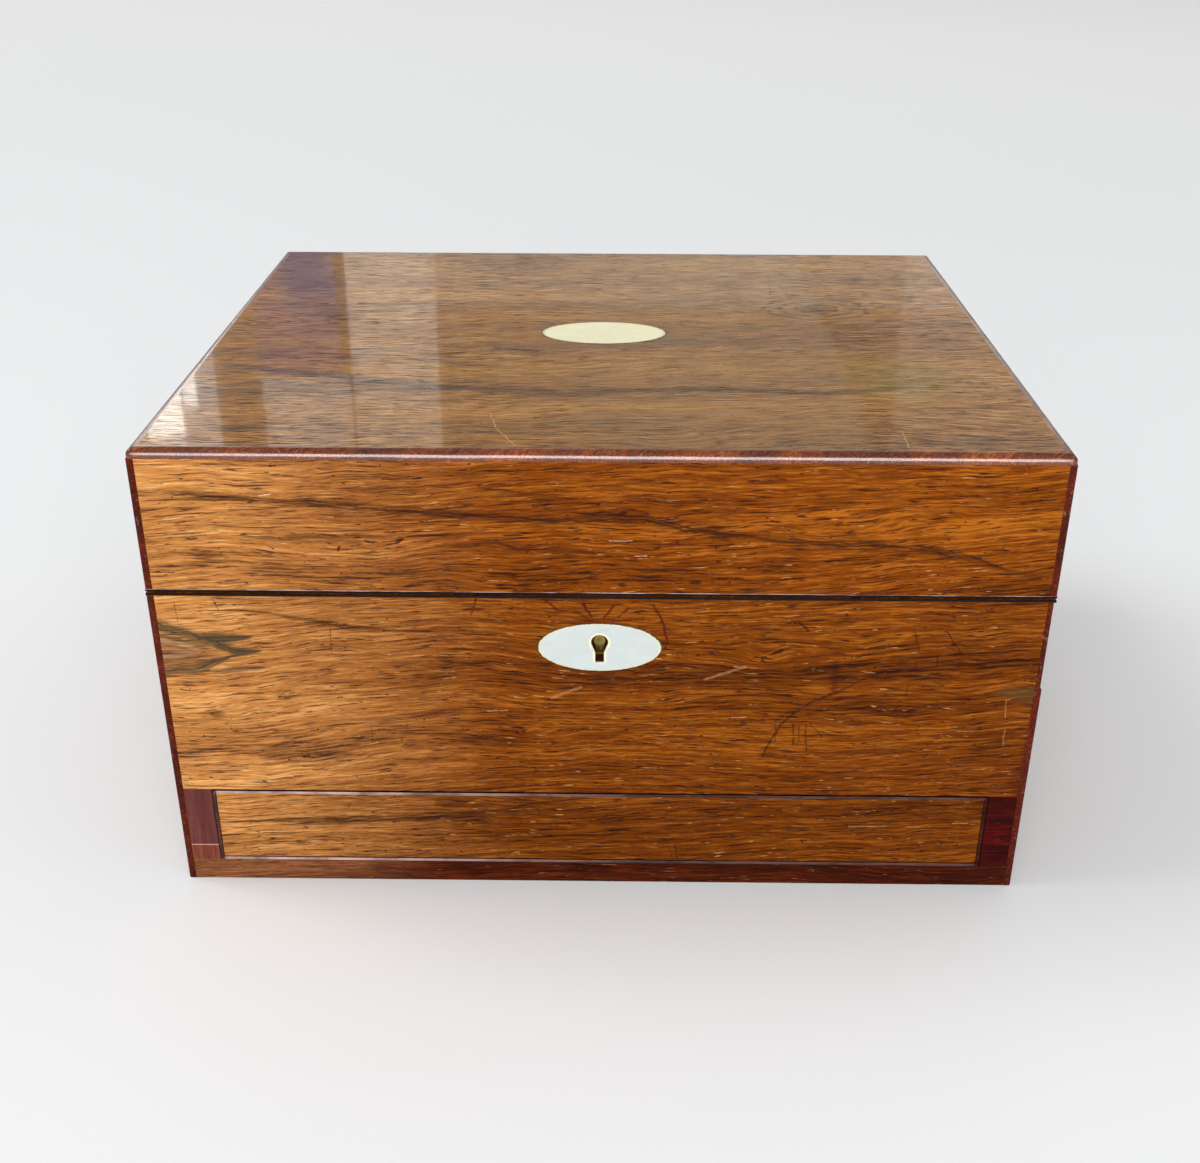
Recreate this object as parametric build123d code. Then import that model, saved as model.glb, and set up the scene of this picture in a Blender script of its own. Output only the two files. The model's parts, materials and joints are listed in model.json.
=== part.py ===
from build123d import *
import math
import os

# A rosewood veneered vanity box with a hinged lid, a lift-out tray and a drawer in its base.
# Millimetres. The origin is the middle of the underside, +X to the right, +Y to the back and
# +Z up, so the front with the keyhole faces -Y. As drawn, the lid is shut, the tray and the
# drawer are in, and both the lock and the pin that holds the drawer are released.

# Outside, over the veneer
CASE_WIDTH = 305.0
CASE_DEPTH = 254.0
CASE_HEIGHT = 171.0
CUT_HEIGHT = 119.5  # middle of the saw cut that parts the lid from the base
CUT_GAP = 0.7

# Clearances
RUN_GAP = 0.3  # between pieces that slide or swing past each other
PIN_FIT = 0.08  # radial, a pin in its own hole
LET_IN = 0.1  # round a fitting that is let into the wood
GLUE_LINE = 0.02  # between two mitred ends, measured along the strip

# Boards and facings
VENEER = 0.9
WALL = 11.8
TOP_BOARD = 8.0
BOTTOM_BOARD = 8.6
DUST_BOARD = 6.0
CORNER_LAP = 6.0  # how far the front, back and bottom boards lap into the side boards
DUST_HOUSING = 3.0
DRAWER_OPENING = 31.2
EDGING = 2.6
EDGING_ROUND = 0.9
MOULDING_WIDTH = 3.5
MOULDING_HEIGHT = 3.3
MOULDING_ROUND = 2.6
MOULDING_CORNER = 1.8  # in plan, where the mitres are worn
STRIP_HEIGHT = 6.6  # the patch of another wood under the left stile facing

# Inlaid pearl
INLAY_PROUD = 0.1
PLATE_WIDTH = 50.0
PLATE_DEPTH = 29.0
ESCUTCHEON_WIDTH = 43.0
ESCUTCHEON_HEIGHT = 18.7
KEYHOLE_RADIUS = 2.85
KEYHOLE_SLOT = 2.9
KEYHOLE_TAIL = 7.7  # from the middle of the round part to the foot of the slot
KEYHOLE_TAPER = 4.0  # from the middle of the round part to where the slot runs straight
KEYHOLE_DROP = 17.5  # from the rim to the middle of the round part
KEYHOLE_RISE = 1.9  # of the round part over the middle of the oval

# Lock and link plate
LOCK_WIDTH = 66.0
LOCK_HEIGHT = 28.0
LOCK_DEPTH = 7.2
LOCK_BODY = 56.0
LOCK_METAL = 1.2
SELVEDGE = 1.6
SELVEDGE_WIDTH = 9.0
STAPLE_SPACING = 34.0
STAPLE_THICK = 2.2
STAPLE_WIDTH = 3.9
STAPLE_REACH = 8.5
STAPLE_WEB = 1.0  # metal left round the eye
EYE_HEIGHT = 3.4
BOLT_TRAVEL = 4.0
BOLT_BAR = 4.2
BOLT_ARM = 3.2
FINGER_THICK = 1.2
FINGER_HEIGHT = 2.6
TALON_RADIUS = 1.8
DRILL_PIN_RADIUS = 2.3
DRILL_PIN_EASE = 0.4  # chamfer round its end
STUD_RADIUS = 0.9

# Hinges
HINGE_LENGTH = 38.0
HINGE_INSET = 57.5  # from the end of the box to the middle of a hinge
HINGE_WIDTH = 9.0
HINGE_LEAF = 1.2
HINGE_OUT = 0.8  # pin axis behind the back veneer
HINGE_PIN_RADIUS = 1.0
KNUCKLE_RADIUS = 2.2
KNUCKLES = 3
STOP_REACH = 4.4  # the stop flanges, from the pin's axis
STOP_THICK = 1.1
LID_SWING = 95.0  # degrees, where the two stop flanges meet
STOP_EASE = 1.5  # degrees that the flanges are dressed back by

# Screws
SCREW_HEAD = 1.9
SCREW_SHANK = 0.9
SCREW_LENGTH = 7.0
SCREW_SINK = 1.0

# Drawer
SPRING_ROOM = 15.3  # behind the drawer
DRAWER_FRONT = 11.0
DRAWER_SIDE = 6.0
DRAWER_BACK = 6.0
DRAWER_BASE = 3.0
DRAWER_GROOVE = 2.5
DRAWER_LIFT = 3.0  # of the base panel over the sides' lower edges
DRAWER_DROP = 0.8  # of the sides below the top of the front
DOVETAIL_LAP = 3.6  # wood left in front of the half-blind dovetails
TAILS = 3
TAIL_SHARE = 0.72  # of the pitch, at the wide end
TAIL_SLOPE = 1 / 7
BEAD_WIDTH = 1.3
BEAD_PROUD = 0.5
BEAD_DEPTH = 4.0
DIVIDER = 3.0
DIVIDER_HEIGHT = 15.0
DRAWER_DIVIDE = 12.0  # of the drawer's cross divider behind the middle of the box

# Pin that holds the drawer, and the spring that pushes it out
PIN_INSET = 44.5  # from the drawer's right end
PIN_RADIUS = 1.4
PIN_TRAVEL = 6.0
PIN_EDGE = 4.2  # from the board's inner face to the pin's axis
KNOB_RADIUS = 2.8
KNOB_HEIGHT = 5.0
KNOB_CROWN = 1.2
KNOB_FOOT = 1.0
KNOB_BELOW_RIM = 0.5
NOTCH_WIDTH = 16.0
NOTCH_DEPTH = 8.0
NOTCH_HEIGHT = 15.0
BUSH_RADIUS = 3.0
BUSH_HEIGHT = 2.0
SPRING_LENGTH = 90.0
SPRING_THICK = 0.6
SPRING_HEIGHT = 10.0
SPRING_FOOT = 14.0

# Linings and tray
LINING = 1.2
FLOOR_LINING = 1.0
BEARER = 3.0
TRAY_HEIGHT = 33.0
TRAY_DROP = 2.0  # of its edge below the rim
TRAY_WALL = 4.0
TRAY_BASE = 3.0
TRAY_REBATE = 2.0
TRAY_ROUND = 0.8
PARTITION = 3.0
PARTITION_DROP = 3.0  # of the partitions below the tray's edge
MIDDLE_WELLS = 104.0  # width of the tray's middle wells
MIDDLE_DIVIDE = 20.0  # of the middle wells' divider behind the middle of the box
SIDE_WELLS = 3
PULL_RADIUS = 3.2
PULL_HEIGHT = 8.0
PULL_NECK = 1.5
PULL_FOOT = 2.1
PULL_CROWN = 1.4
CUSHION_HEIGHT = 21.0
CUSHION_CORNER = 12.0
CUSHION_CROWN = 9.0
CUSHION_FOOT = 2.5
CUSHION_GAP = 0.4

# Mirror in the lid
MIRROR_SIDE_MARGIN = 20.6  # between the lining and the frame, at the ends
MIRROR_FRONT_MARGIN = 20.1  # and at the front and back, where the keepers are
MIRROR_FRAME = 14.0
MIRROR_THICK = 7.0
MIRROR_LIP = 4.0
MIRROR_BEVEL = 2.2
GLASS = 2.0
GLASS_BACK = 2.0
KEEPER_WIDTH = 20.0
KEEPER_DEPTH = 12.0
BUTTON_LENGTH = 18.0
BUTTON_WIDTH = 6.0
BUTTON_THICK = 1.2
BUTTON_PIVOT = 1.2
BUTTON_BITE = 6.0  # how far the button reaches over the frame

# Planes and faces that several pieces share
half_w = CASE_WIDTH / 2
half_d = CASE_DEPTH / 2
board_x = half_w - VENEER
board_y = half_d - VENEER
inner_x = board_x - WALL
inner_y = board_y - WALL
base_top = CUT_HEIGHT - CUT_GAP / 2
lid_bottom = CUT_HEIGHT + CUT_GAP / 2
base_boards = base_top - VENEER
lid_boards = lid_bottom + VENEER
opening_top = BOTTOM_BOARD + DRAWER_OPENING
floor = opening_top + DUST_BOARD
ceiling = CASE_HEIGHT - VENEER - TOP_BOARD
moulding_low = CASE_HEIGHT - MOULDING_HEIGHT
edging_x = half_w - EDGING
edging_y = half_d - EDGING

key_z = base_top - KEYHOLE_DROP
oval_z = key_z - KEYHOLE_RISE
lock_low = base_top - LOCK_HEIGHT
lock_front = -inner_y - LOCK_DEPTH
lock_back = -inner_y - LOCK_METAL
staple_y = (lock_front + LOCK_METAL + lock_back) / 2
staple_low = lid_bottom - STAPLE_REACH
eye_low = staple_low + STAPLE_WEB
eye_high = eye_low + EYE_HEIGHT
eye_width = STAPLE_WIDTH - 2 * STAPLE_WEB
finger_low = (eye_low + eye_high - FINGER_HEIGHT) / 2
finger_high = finger_low + FINGER_HEIGHT
bolt_low = key_z + KEYHOLE_RADIUS + RUN_GAP

hinge_x = half_w - HINGE_INSET
hinge_y = half_d + HINGE_OUT

drawer_x = inner_x - RUN_GAP
drawer_low = BOTTOM_BOARD + RUN_GAP
drawer_high = opening_top - RUN_GAP
drawer_side_high = drawer_high - DRAWER_DROP
drawer_face = -board_y
drawer_inner = drawer_face + DRAWER_FRONT
drawer_end = inner_y - SPRING_ROOM
panel_low = drawer_low + DRAWER_LIFT
panel_high = panel_low + DRAWER_BASE
drawer_in_x = drawer_x - DRAWER_SIDE

pin_x = drawer_x - PIN_INSET
pin_y = -inner_y - PIN_EDGE
knob_top = base_top - KNOB_BELOW_RIM
notch_floor = base_top - NOTCH_HEIGHT

tray_x = inner_x - LINING - RUN_GAP  # it lifts between the linings of the lid
tray_y = inner_y - LINING - RUN_GAP
tray_high = base_top - TRAY_DROP
tray_low = tray_high - TRAY_HEIGHT
bearer_low = floor + FLOOR_LINING
bearer_top = tray_low - RUN_GAP
tray_floor = tray_low + TRAY_BASE
well_floor = tray_floor + FLOOR_LINING
tray_in_x = tray_x - TRAY_WALL
tray_in_y = tray_y - TRAY_WALL
partition_top = tray_high - PARTITION_DROP

mirror_x = inner_x - LINING - MIRROR_SIDE_MARGIN
mirror_y = inner_y - LINING - MIRROR_FRONT_MARGIN
mirror_top = ceiling - LINING
mirror_low = mirror_top - MIRROR_THICK
button_y = -mirror_y - KEEPER_DEPTH / 2 - RUN_GAP


def block(x0, x1, y0, y1, z0, z1):
    """A box between two corners."""
    middle = Pos((x0 + x1) / 2, (y0 + y1) / 2, (z0 + z1) / 2)
    return middle * Box(x1 - x0, y1 - y0, z1 - z0)


def centred(half_x, half_y, z0, z1):
    """A box centred on the origin in plan."""
    return block(-half_x, half_x, -half_y, half_y, z0, z1)


def both_sides(shape):
    """A shape and its mirror image on the other side of the box."""
    return [shape, mirror(shape, Plane.YZ)]


def front_prism(outline, x, z, y0, y1):
    """An outline seen from the front, running from y0 back to y1."""
    return Pos(x, y1, z) * extrude(Plane.XZ * outline, amount=y1 - y0)


def cylinder_x(radius, x0, x1, y, z):
    """A round bar along X."""
    return Pos((x0 + x1) / 2, y, z) * Rot(0, 90, 0) * Cylinder(radius, x1 - x0)


def upright(radius, x, y, z0, z1):
    """A round bar along Z."""
    return Pos(x, y, (z0 + z1) / 2) * Cylinder(radius, z1 - z0)


def mitred_strips(section, half_x, half_y, width):
    """Four strips round a rectangle, mitred at its corners with a glue line between them.

    The section is drawn with its outer face on the local Y axis, inwards to the right and at
    its real height.
    """
    strips = []
    sides = ((0, half_x, half_y), (90, half_y, half_x), (180, half_x, half_y), (270, half_y, half_x))
    for turn, along, out in sides:
        bar = Pos(0, -out, 0) * extrude(Plane.YZ * section, amount=along, both=True)
        tip = along - GLUE_LINE / 2
        mitre = Polyline(
            (-tip, -out),
            (tip, -out),
            (tip - width, -out + width),
            (-tip + width, -out + width),
            close=True,
        )
        wedge = extrude(make_face(mitre), amount=CASE_HEIGHT)
        strips.append(Rot(0, 0, turn) * (bar & wedge))
    return strips


def strip_section(width, low, high):
    """The plain section of a strip for mitred_strips."""
    return Pos(width / 2, (low + high) / 2) * Rectangle(width, high - low)


def screw(grow=0.0):
    """A countersunk screw that points down, its head flush with the origin."""
    head = SCREW_HEAD + grow
    shank = SCREW_SHANK + grow
    end = -SCREW_LENGTH - grow
    outline = Polyline(
        (0, 0),
        (head, 0),
        (shank, -SCREW_SINK),
        (shank, end),
        (0, end),
        close=True,
    )
    return revolve(Plane.XZ * make_face(outline), Axis.Z)


def escutcheon_oval():
    """The outline of the pearl round the keyhole."""
    return Ellipse(ESCUTCHEON_WIDTH / 2, ESCUTCHEON_HEIGHT / 2)


def cartouche_oval():
    """The outline of the pearl in the lid."""
    return Ellipse(PLATE_WIDTH / 2, PLATE_DEPTH / 2)


def keyhole():
    """A keyhole outline, round at the top and tapering into its slot."""
    shoulder = KEYHOLE_RADIUS * math.cos(math.radians(30))
    taper = Polyline(
        (-shoulder, -KEYHOLE_RADIUS / 2),
        (shoulder, -KEYHOLE_RADIUS / 2),
        (KEYHOLE_SLOT / 2, -KEYHOLE_TAPER),
        (-KEYHOLE_SLOT / 2, -KEYHOLE_TAPER),
        close=True,
    )
    slot = Pos(0, -KEYHOLE_TAIL / 2) * Rectangle(KEYHOLE_SLOT, KEYHOLE_TAIL)
    return Circle(KEYHOLE_RADIUS) + make_face(taper) + slot


def cross_board(y0, y1, z0, z1):
    """A board that runs across the box and laps into both side boards."""
    return block(-inner_x - CORNER_LAP, inner_x + CORNER_LAP, y0, y1, z0, z1)


def corner_rebates(z0, z1):
    """The square rebates down the four corners that take the edging."""
    cuts = []
    for side_x in (-1, 1):
        for side_y in (-1, 1):
            middle = Pos(side_x * half_w, side_y * half_d, (z0 + z1) / 2)
            cuts.append(middle * Box(2 * EDGING, 2 * EDGING, z1 - z0))
    return cuts


def corner_edging(z0, z1):
    """Square strips down the four corners, rounded on their outer arris."""
    strips = []
    square = Pos(EDGING / 2, EDGING / 2) * Rectangle(EDGING, EDGING)
    arris = square.vertices().sort_by(Axis.X)[:2].sort_by(Axis.Y)[0]
    section = fillet(arris, EDGING_ROUND)
    corner = Pos(-half_w, -half_d, z0) * extrude(section, amount=z1 - z0)
    for shape in both_sides(corner):
        strips.append(shape)
        strips.append(mirror(shape, Plane.XZ))
    return strips


def side_boards():
    """The two side boards, lapped for the boards that meet them and grooved for the dust board."""
    board = block(inner_x, board_x, -board_y, board_y, 0, base_boards)
    lap = inner_x + CORNER_LAP
    board -= block(inner_x, lap, -board_y, -inner_y, opening_top, base_boards)
    board -= block(inner_x, lap, inner_y, board_y, 0, base_boards)
    board -= block(inner_x, lap, -board_y, inner_y, 0, BOTTOM_BOARD)
    board -= block(inner_x, inner_x + DUST_HOUSING, -inner_y, inner_y, opening_top, floor)
    board -= corner_rebates(0, base_boards)
    return both_sides(board)


def front_board():
    """The board over the drawer, with the lock's mortise, the keyhole and the pin's channel."""
    board = cross_board(-board_y, -inner_y, opening_top, base_boards)
    board -= lock_mortise()
    board -= front_prism(keyhole(), 0, key_z, -board_y, lock_front)
    board -= finger_notch()
    board -= upright(PIN_RADIUS + PIN_FIT, pin_x, pin_y, opening_top, notch_floor)
    board -= upright(BUSH_RADIUS, pin_x, pin_y, notch_floor - BUSH_HEIGHT, notch_floor)
    for place in lock_screw_places():
        board -= place * screw(grow=PIN_FIT)
    return board


def back_board():
    """The back board, with the hinges let into its upper edge."""
    board = cross_board(inner_y, board_y, 0, base_boards)
    for recess in hinge_recesses():
        board -= recess
    for place in base_hinge_screw_places():
        board -= place * screw(grow=PIN_FIT)
    return board - spring_screw_place() * screw(grow=PIN_FIT)


def bottom_board():
    """The bottom, which carries the drawer and runs out to the front rail."""
    return cross_board(-board_y, inner_y, 0, BOTTOM_BOARD)


def dust_board():
    """The floor of the compartment over the drawer."""
    return centred(inner_x + DUST_HOUSING, inner_y, opening_top, floor)


def front_veneer():
    """The veneer over the front board, cut out for the pearl."""
    sheet = block(-edging_x, edging_x, -half_d, -board_y, opening_top, base_boards)
    return sheet - front_prism(escutcheon_oval(), 0, oval_z, -half_d, -board_y)


def base_side_veneers():
    """The veneers over the sides and the back of the base."""
    side = block(board_x, half_w, -edging_y, edging_y, 0, base_boards)
    back = block(-edging_x, edging_x, board_y, half_d, 0, base_boards)
    for recess in hinge_recesses():
        back -= recess
    return both_sides(side) + [back]


def left_stile_facing():
    """The facing left of the drawer, with the patch of another wood let in below it."""
    patch_top = BOTTOM_BOARD + STRIP_HEIGHT
    facing = block(-edging_x, -inner_x, -half_d, -board_y, patch_top, opening_top)
    patch = block(-edging_x, -inner_x, -half_d, -board_y, BOTTOM_BOARD, patch_top)
    return [facing, patch]


def right_stile_facing():
    """The facing right of the drawer."""
    return block(inner_x, edging_x, -half_d, -board_y, BOTTOM_BOARD, opening_top)


def bottom_rail_veneer():
    """The strip of veneer under the drawer."""
    return block(-edging_x, edging_x, -half_d, -board_y, 0, BOTTOM_BOARD)


def base_rim_veneer():
    """Mitred facings on the upper edges of the base."""
    width = VENEER + WALL
    strips = mitred_strips(strip_section(width, base_boards, base_top), half_w, half_d, width)
    cuts = [selvedge_seat(), finger_notch()] + hinge_recesses()
    return [strip - cuts for strip in strips]


def escutcheon():
    """The pearl oval round the keyhole."""
    plate = front_prism(escutcheon_oval(), 0, oval_z, -half_d - INLAY_PROUD, -board_y)
    return plate - front_prism(keyhole(), 0, key_z, -half_d - 2 * INLAY_PROUD, -board_y)


def selvedge_seat():
    """The seat in the rim for the lock's selvedge."""
    half = LOCK_WIDTH / 2 + LET_IN
    front = -inner_y - SELVEDGE_WIDTH - LET_IN
    return block(-half, half, front, -inner_y, base_top - SELVEDGE, base_top)


def lock_mortise():
    """All that is cut from the front board for the lock."""
    half = LOCK_WIDTH / 2 + LET_IN
    body = LOCK_BODY / 2 + LET_IN
    plate = block(-half, half, lock_back, -inner_y, lock_low - LET_IN, base_top)
    case = block(-body, body, lock_front, -inner_y, lock_low - LET_IN, base_top)
    return plate + case + selvedge_seat()


def lock_screw_places():
    """Where the four screws go through the corners of the lock's back plate."""
    across = (LOCK_WIDTH + LOCK_BODY) / 4
    heights = (lock_low + SCREW_HEAD + LOCK_METAL, base_top - SELVEDGE - SCREW_HEAD - LOCK_METAL)
    places = []
    for x in (-across, across):
        for z in heights:
            places.append(Pos(x, -inner_y, z) * Rot(-90, 0, 0))
    return places


def lock_case():
    """The lock's back plate and selvedge in one, with the walls of its case and the bolt's stud."""
    plate_half = LOCK_WIDTH / 2
    body_half = LOCK_BODY / 2
    wall_top = base_top - SELVEDGE
    plate = block(-plate_half, plate_half, lock_back, -inner_y, lock_low, wall_top)
    selvedge = block(-plate_half, plate_half, -inner_y - SELVEDGE_WIDTH, -inner_y, wall_top, base_top)
    cap_back = lock_front + LOCK_METAL
    walls = block(-body_half, body_half, cap_back, lock_back, lock_low, wall_top)
    walls -= block(-body_half + 1, body_half - 1, cap_back, lock_back, lock_low + LOCK_METAL, wall_top)
    stud_z = bolt_low + BOLT_BAR / 2
    stud = front_prism(Circle(STUD_RADIUS), bolt_stud_x(), stud_z, cap_back + RUN_GAP, lock_back)
    case = plate + selvedge + walls + stud
    for side in (-1, 1):
        x = side * STAPLE_SPACING / 2
        half_x = STAPLE_THICK / 2 + RUN_GAP
        half_y = STAPLE_WIDTH / 2 + RUN_GAP
        case -= block(x - half_x, x + half_x, staple_y - half_y, staple_y + half_y, wall_top, base_top)
    for place in lock_screw_places():
        case -= place * screw(grow=PIN_FIT)
    return case


def lock_cap():
    """The plate that closes the front of the lock, with the keyhole through it."""
    half = LOCK_BODY / 2
    top = base_top - SELVEDGE
    plate = block(-half, half, lock_front, lock_front + LOCK_METAL, lock_low, top)
    return plate - front_prism(keyhole(), 0, key_z, lock_front, lock_front + LOCK_METAL)


def lock_drill_pin():
    """The post in the keyhole that the hollow key goes on."""
    tip = -board_y + RUN_GAP
    post = front_prism(Circle(DRILL_PIN_RADIUS), 0, key_z, tip, lock_back)
    ends = post.edges().filter_by(GeomType.CIRCLE).group_by(Axis.Y)
    return chamfer(ends[0], DRILL_PIN_EASE)


def bolt_stud_x():
    """Where the stud that guides the bolt stands, left of the keyhole."""
    return -STAPLE_SPACING / 4


def lock_bolt():
    """The bolt: a bar with two hooked arms, a slot for its stud and the talon for the key."""
    front = staple_y - FINGER_THICK / 2
    back = lock_back - RUN_GAP
    reach = BOLT_TRAVEL + STAPLE_THICK / 2 + RUN_GAP
    bar_left = -STAPLE_SPACING / 2 - reach - BOLT_ARM
    bar_right = STAPLE_SPACING / 2 - reach
    bar_top = bolt_low + BOLT_BAR
    bolt = block(bar_left, bar_right, front, back, bolt_low, bar_top)
    for side in (-1, 1):
        x = side * STAPLE_SPACING / 2
        bolt += block(x - reach - BOLT_ARM, x - reach, front, back, bolt_low, finger_high)
        tip = x - STAPLE_THICK / 2 - RUN_GAP
        bolt += block(x - reach, tip, front, front + FINGER_THICK, finger_low, finger_high)
    slot = SlotCenterToCenter(BOLT_TRAVEL, 2 * (STUD_RADIUS + PIN_FIT))
    bolt -= front_prism(slot, bolt_stud_x() - BOLT_TRAVEL / 2, bolt_low + BOLT_BAR / 2, front, back)
    return bolt - front_prism(Circle(TALON_RADIUS), 0, bolt_low, front, back)


def link_plate():
    """The plate in the lid's rim with the two staples that the bolt hooks."""
    half = LOCK_WIDTH / 2
    plate = block(-half, half, -inner_y - SELVEDGE_WIDTH, -inner_y, lid_bottom, lid_bottom + SELVEDGE)
    for side in (-1, 1):
        x = side * STAPLE_SPACING / 2
        staple = Box(STAPLE_THICK, STAPLE_WIDTH, STAPLE_REACH)
        eye = Box(STAPLE_THICK, eye_width, EYE_HEIGHT)
        plate += Pos(x, staple_y, (staple_low + lid_bottom) / 2) * staple
        plate -= Pos(x, staple_y, (eye_low + eye_high) / 2) * eye
    for place in link_screw_places():
        plate -= place * screw(grow=PIN_FIT)
    return plate


def link_screw_places():
    """Where the link plate's two screws go up into the lid's front rail."""
    x = (LOCK_WIDTH + STAPLE_SPACING) / 4
    y = -inner_y - SELVEDGE_WIDTH / 2
    return [Pos(side * x, y, lid_bottom) * Rot(180, 0, 0) for side in (-1, 1)]


def hinge_middles():
    """The places of the two hinges along the back."""
    return [-hinge_x, hinge_x]


def hinge_recesses():
    """What is cut from base, lid and veneers for each hinge: its two leaves and its barrel."""
    cuts = []
    half = HINGE_LENGTH / 2 + LET_IN
    low = base_top - HINGE_LEAF
    high = lid_bottom + HINGE_LEAF
    for x in hinge_middles():
        leaves = block(x - half, x + half, half_d - HINGE_WIDTH - LET_IN, half_d, low, high)
        barrel = cylinder_x(KNUCKLE_RADIUS + RUN_GAP, x - half, x + half, hinge_y, CUT_HEIGHT)
        cuts.append(leaves + barrel)
    return cuts


def knuckle_spans(x, first):
    """The stretches along X of every second knuckle, counted from the first given."""
    pitch = HINGE_LENGTH / KNUCKLES
    left = x - HINGE_LENGTH / 2
    return [(left + i * pitch, left + (i + 1) * pitch) for i in range(first, KNUCKLES, 2)]


def stop_flange(x, spans, lid):
    """The flange that stops the lid: radial, behind the barrel, and held by its own knuckles."""
    start = KNUCKLE_RADIUS + RUN_GAP
    root = HINGE_PIN_RADIUS + PIN_FIT
    half = HINGE_LENGTH / 2
    flange = block(x - half, x + half, start, STOP_REACH, 0, STOP_THICK)
    for x0, x1 in spans:
        flange += block(x0 + RUN_GAP / 2, x1 - RUN_GAP / 2, root, start, 0, STOP_THICK)
    angle = (LID_SWING + STOP_EASE) / 2
    if lid:
        return Pos(0, hinge_y, CUT_HEIGHT) * Rot(angle, 0, 0) * flange
    return Pos(0, hinge_y, CUT_HEIGHT) * Rot(-angle, 0, 0) * mirror(flange, Plane.XY)


def hinge_leaf(x, lid):
    """One leaf of a hinge with its knuckles, countersunk for three screws."""
    half = HINGE_LENGTH / 2
    own = knuckle_spans(x, 1 if lid else 0)
    other = knuckle_spans(x, 0 if lid else 1)
    low = lid_bottom if lid else base_top - HINGE_LEAF
    leaf = block(x - half, x + half, half_d - HINGE_WIDTH, hinge_y, low, low + HINGE_LEAF)
    ease = RUN_GAP / 2
    for x0, x1 in own:
        leaf += cylinder_x(KNUCKLE_RADIUS, x0 + ease, x1 - ease, hinge_y, CUT_HEIGHT)
    for x0, x1 in other:
        leaf -= cylinder_x(KNUCKLE_RADIUS + RUN_GAP, x0 - ease, x1 + ease, hinge_y, CUT_HEIGHT)
    leaf += stop_flange(x, own, lid)
    leaf -= cylinder_x(HINGE_PIN_RADIUS + PIN_FIT, x - half, x + half, hinge_y, CUT_HEIGHT)
    places = lid_hinge_screw_places() if lid else base_hinge_screw_places()
    for place in places:
        leaf -= place * screw(grow=PIN_FIT)
    return leaf


def hinge_screw_spots():
    """The screw centres in plan, three to each hinge."""
    y = half_d - (HINGE_WIDTH + VENEER) / 2
    step = HINGE_LENGTH / 3
    return [(x + i * step, y) for x in hinge_middles() for i in (-1, 0, 1)]


def base_hinge_screw_places():
    return [Pos(x, y, base_top) for x, y in hinge_screw_spots()]


def lid_hinge_screw_places():
    return [Pos(x, y, lid_bottom) * Rot(180, 0, 0) for x, y in hinge_screw_spots()]


def hinge_pins():
    """The pins through the knuckles."""
    half = HINGE_LENGTH / 2
    pins = []
    for x in hinge_middles():
        pins.append(cylinder_x(HINGE_PIN_RADIUS, x - half, x + half, hinge_y, CUT_HEIGHT))
    return pins


def finger_notch():
    """The notch in the front board's inner edge where fingers reach the pin's knob."""
    half = NOTCH_WIDTH / 2
    back = -inner_y
    return block(pin_x - half, pin_x + half, back - NOTCH_DEPTH, back, notch_floor, base_top)


def release_pin():
    """The brass pin that drops into the drawer's top edge, with a turned knob."""
    rod_low = drawer_high + RUN_GAP
    knob_low = knob_top - KNOB_HEIGHT
    neck = PIN_RADIUS + (KNOB_RADIUS - PIN_RADIUS) / 3
    outline = Polyline(
        (0, rod_low),
        (PIN_RADIUS * 0.6, rod_low),
        (PIN_RADIUS, rod_low + PIN_RADIUS),
        (PIN_RADIUS, knob_low - KNOB_FOOT),
        (neck, knob_low - KNOB_FOOT),
        (neck, knob_low),
        (KNOB_RADIUS, knob_low + KNOB_FOOT),
        (KNOB_RADIUS, knob_top - KNOB_CROWN),
        (KNOB_RADIUS - KNOB_CROWN, knob_top),
        (0, knob_top),
        close=True,
    )
    return Pos(pin_x, pin_y, 0) * revolve(Plane.XZ * make_face(outline), Axis.Z)


def bush(top, bore):
    """A brass bush let in flush round the drawer's pin."""
    ring = upright(BUSH_RADIUS, pin_x, pin_y, top - BUSH_HEIGHT, top)
    return ring - upright(bore, pin_x, pin_y, top - BUSH_HEIGHT, top)


def spring_screw_place():
    """Where the drawer spring's foot is screwed to the back board."""
    x = -(SPRING_LENGTH + SPRING_FOOT) / 2
    z = (drawer_low + drawer_side_high) / 2
    return Pos(x, inner_y - SPRING_THICK, z) * Rot(90, 0, 0)


def drawer_spring():
    """A bowed steel strip behind the drawer, screwed down at one end."""
    half = SPRING_LENGTH / 2
    bow = inner_y - drawer_end - RUN_GAP
    back = inner_y
    face = back - SPRING_THICK
    outer = ThreePointArc((-half, face), (0, back - bow), (half, face))
    inner = ThreePointArc((-half, back), (0, back - bow + SPRING_THICK), (half, back))
    ends = [Line((-half, face), (-half, back)), Line((half, face), (half, back))]
    strip = make_face([outer, inner] + ends)
    foot = Pos(-half - SPRING_FOOT / 2, back - SPRING_THICK / 2) * Rectangle(SPRING_FOOT, SPRING_THICK)
    z = (drawer_low + drawer_side_high - SPRING_HEIGHT) / 2
    spring = Pos(0, 0, z) * extrude(strip + foot, amount=SPRING_HEIGHT)
    return spring - spring_screw_place() * screw(grow=PIN_FIT)


def lid_side_rails():
    """The lid's side rails, lapped at both ends like the base."""
    rail = block(inner_x, board_x, -board_y, board_y, lid_boards, ceiling)
    lap = inner_x + CORNER_LAP
    rail -= block(inner_x, lap, -board_y, -inner_y, lid_boards, ceiling)
    rail -= block(inner_x, lap, inner_y, board_y, lid_boards, ceiling)
    rail -= corner_rebates(lid_boards, ceiling)
    return both_sides(rail)


def lid_front_rail():
    """The lid's front rail, cut for the link plate."""
    rail = cross_board(-board_y, -inner_y, lid_boards, ceiling)
    rail -= link_seat()
    for place in link_screw_places():
        rail -= place * screw(grow=PIN_FIT)
    return rail


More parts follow.
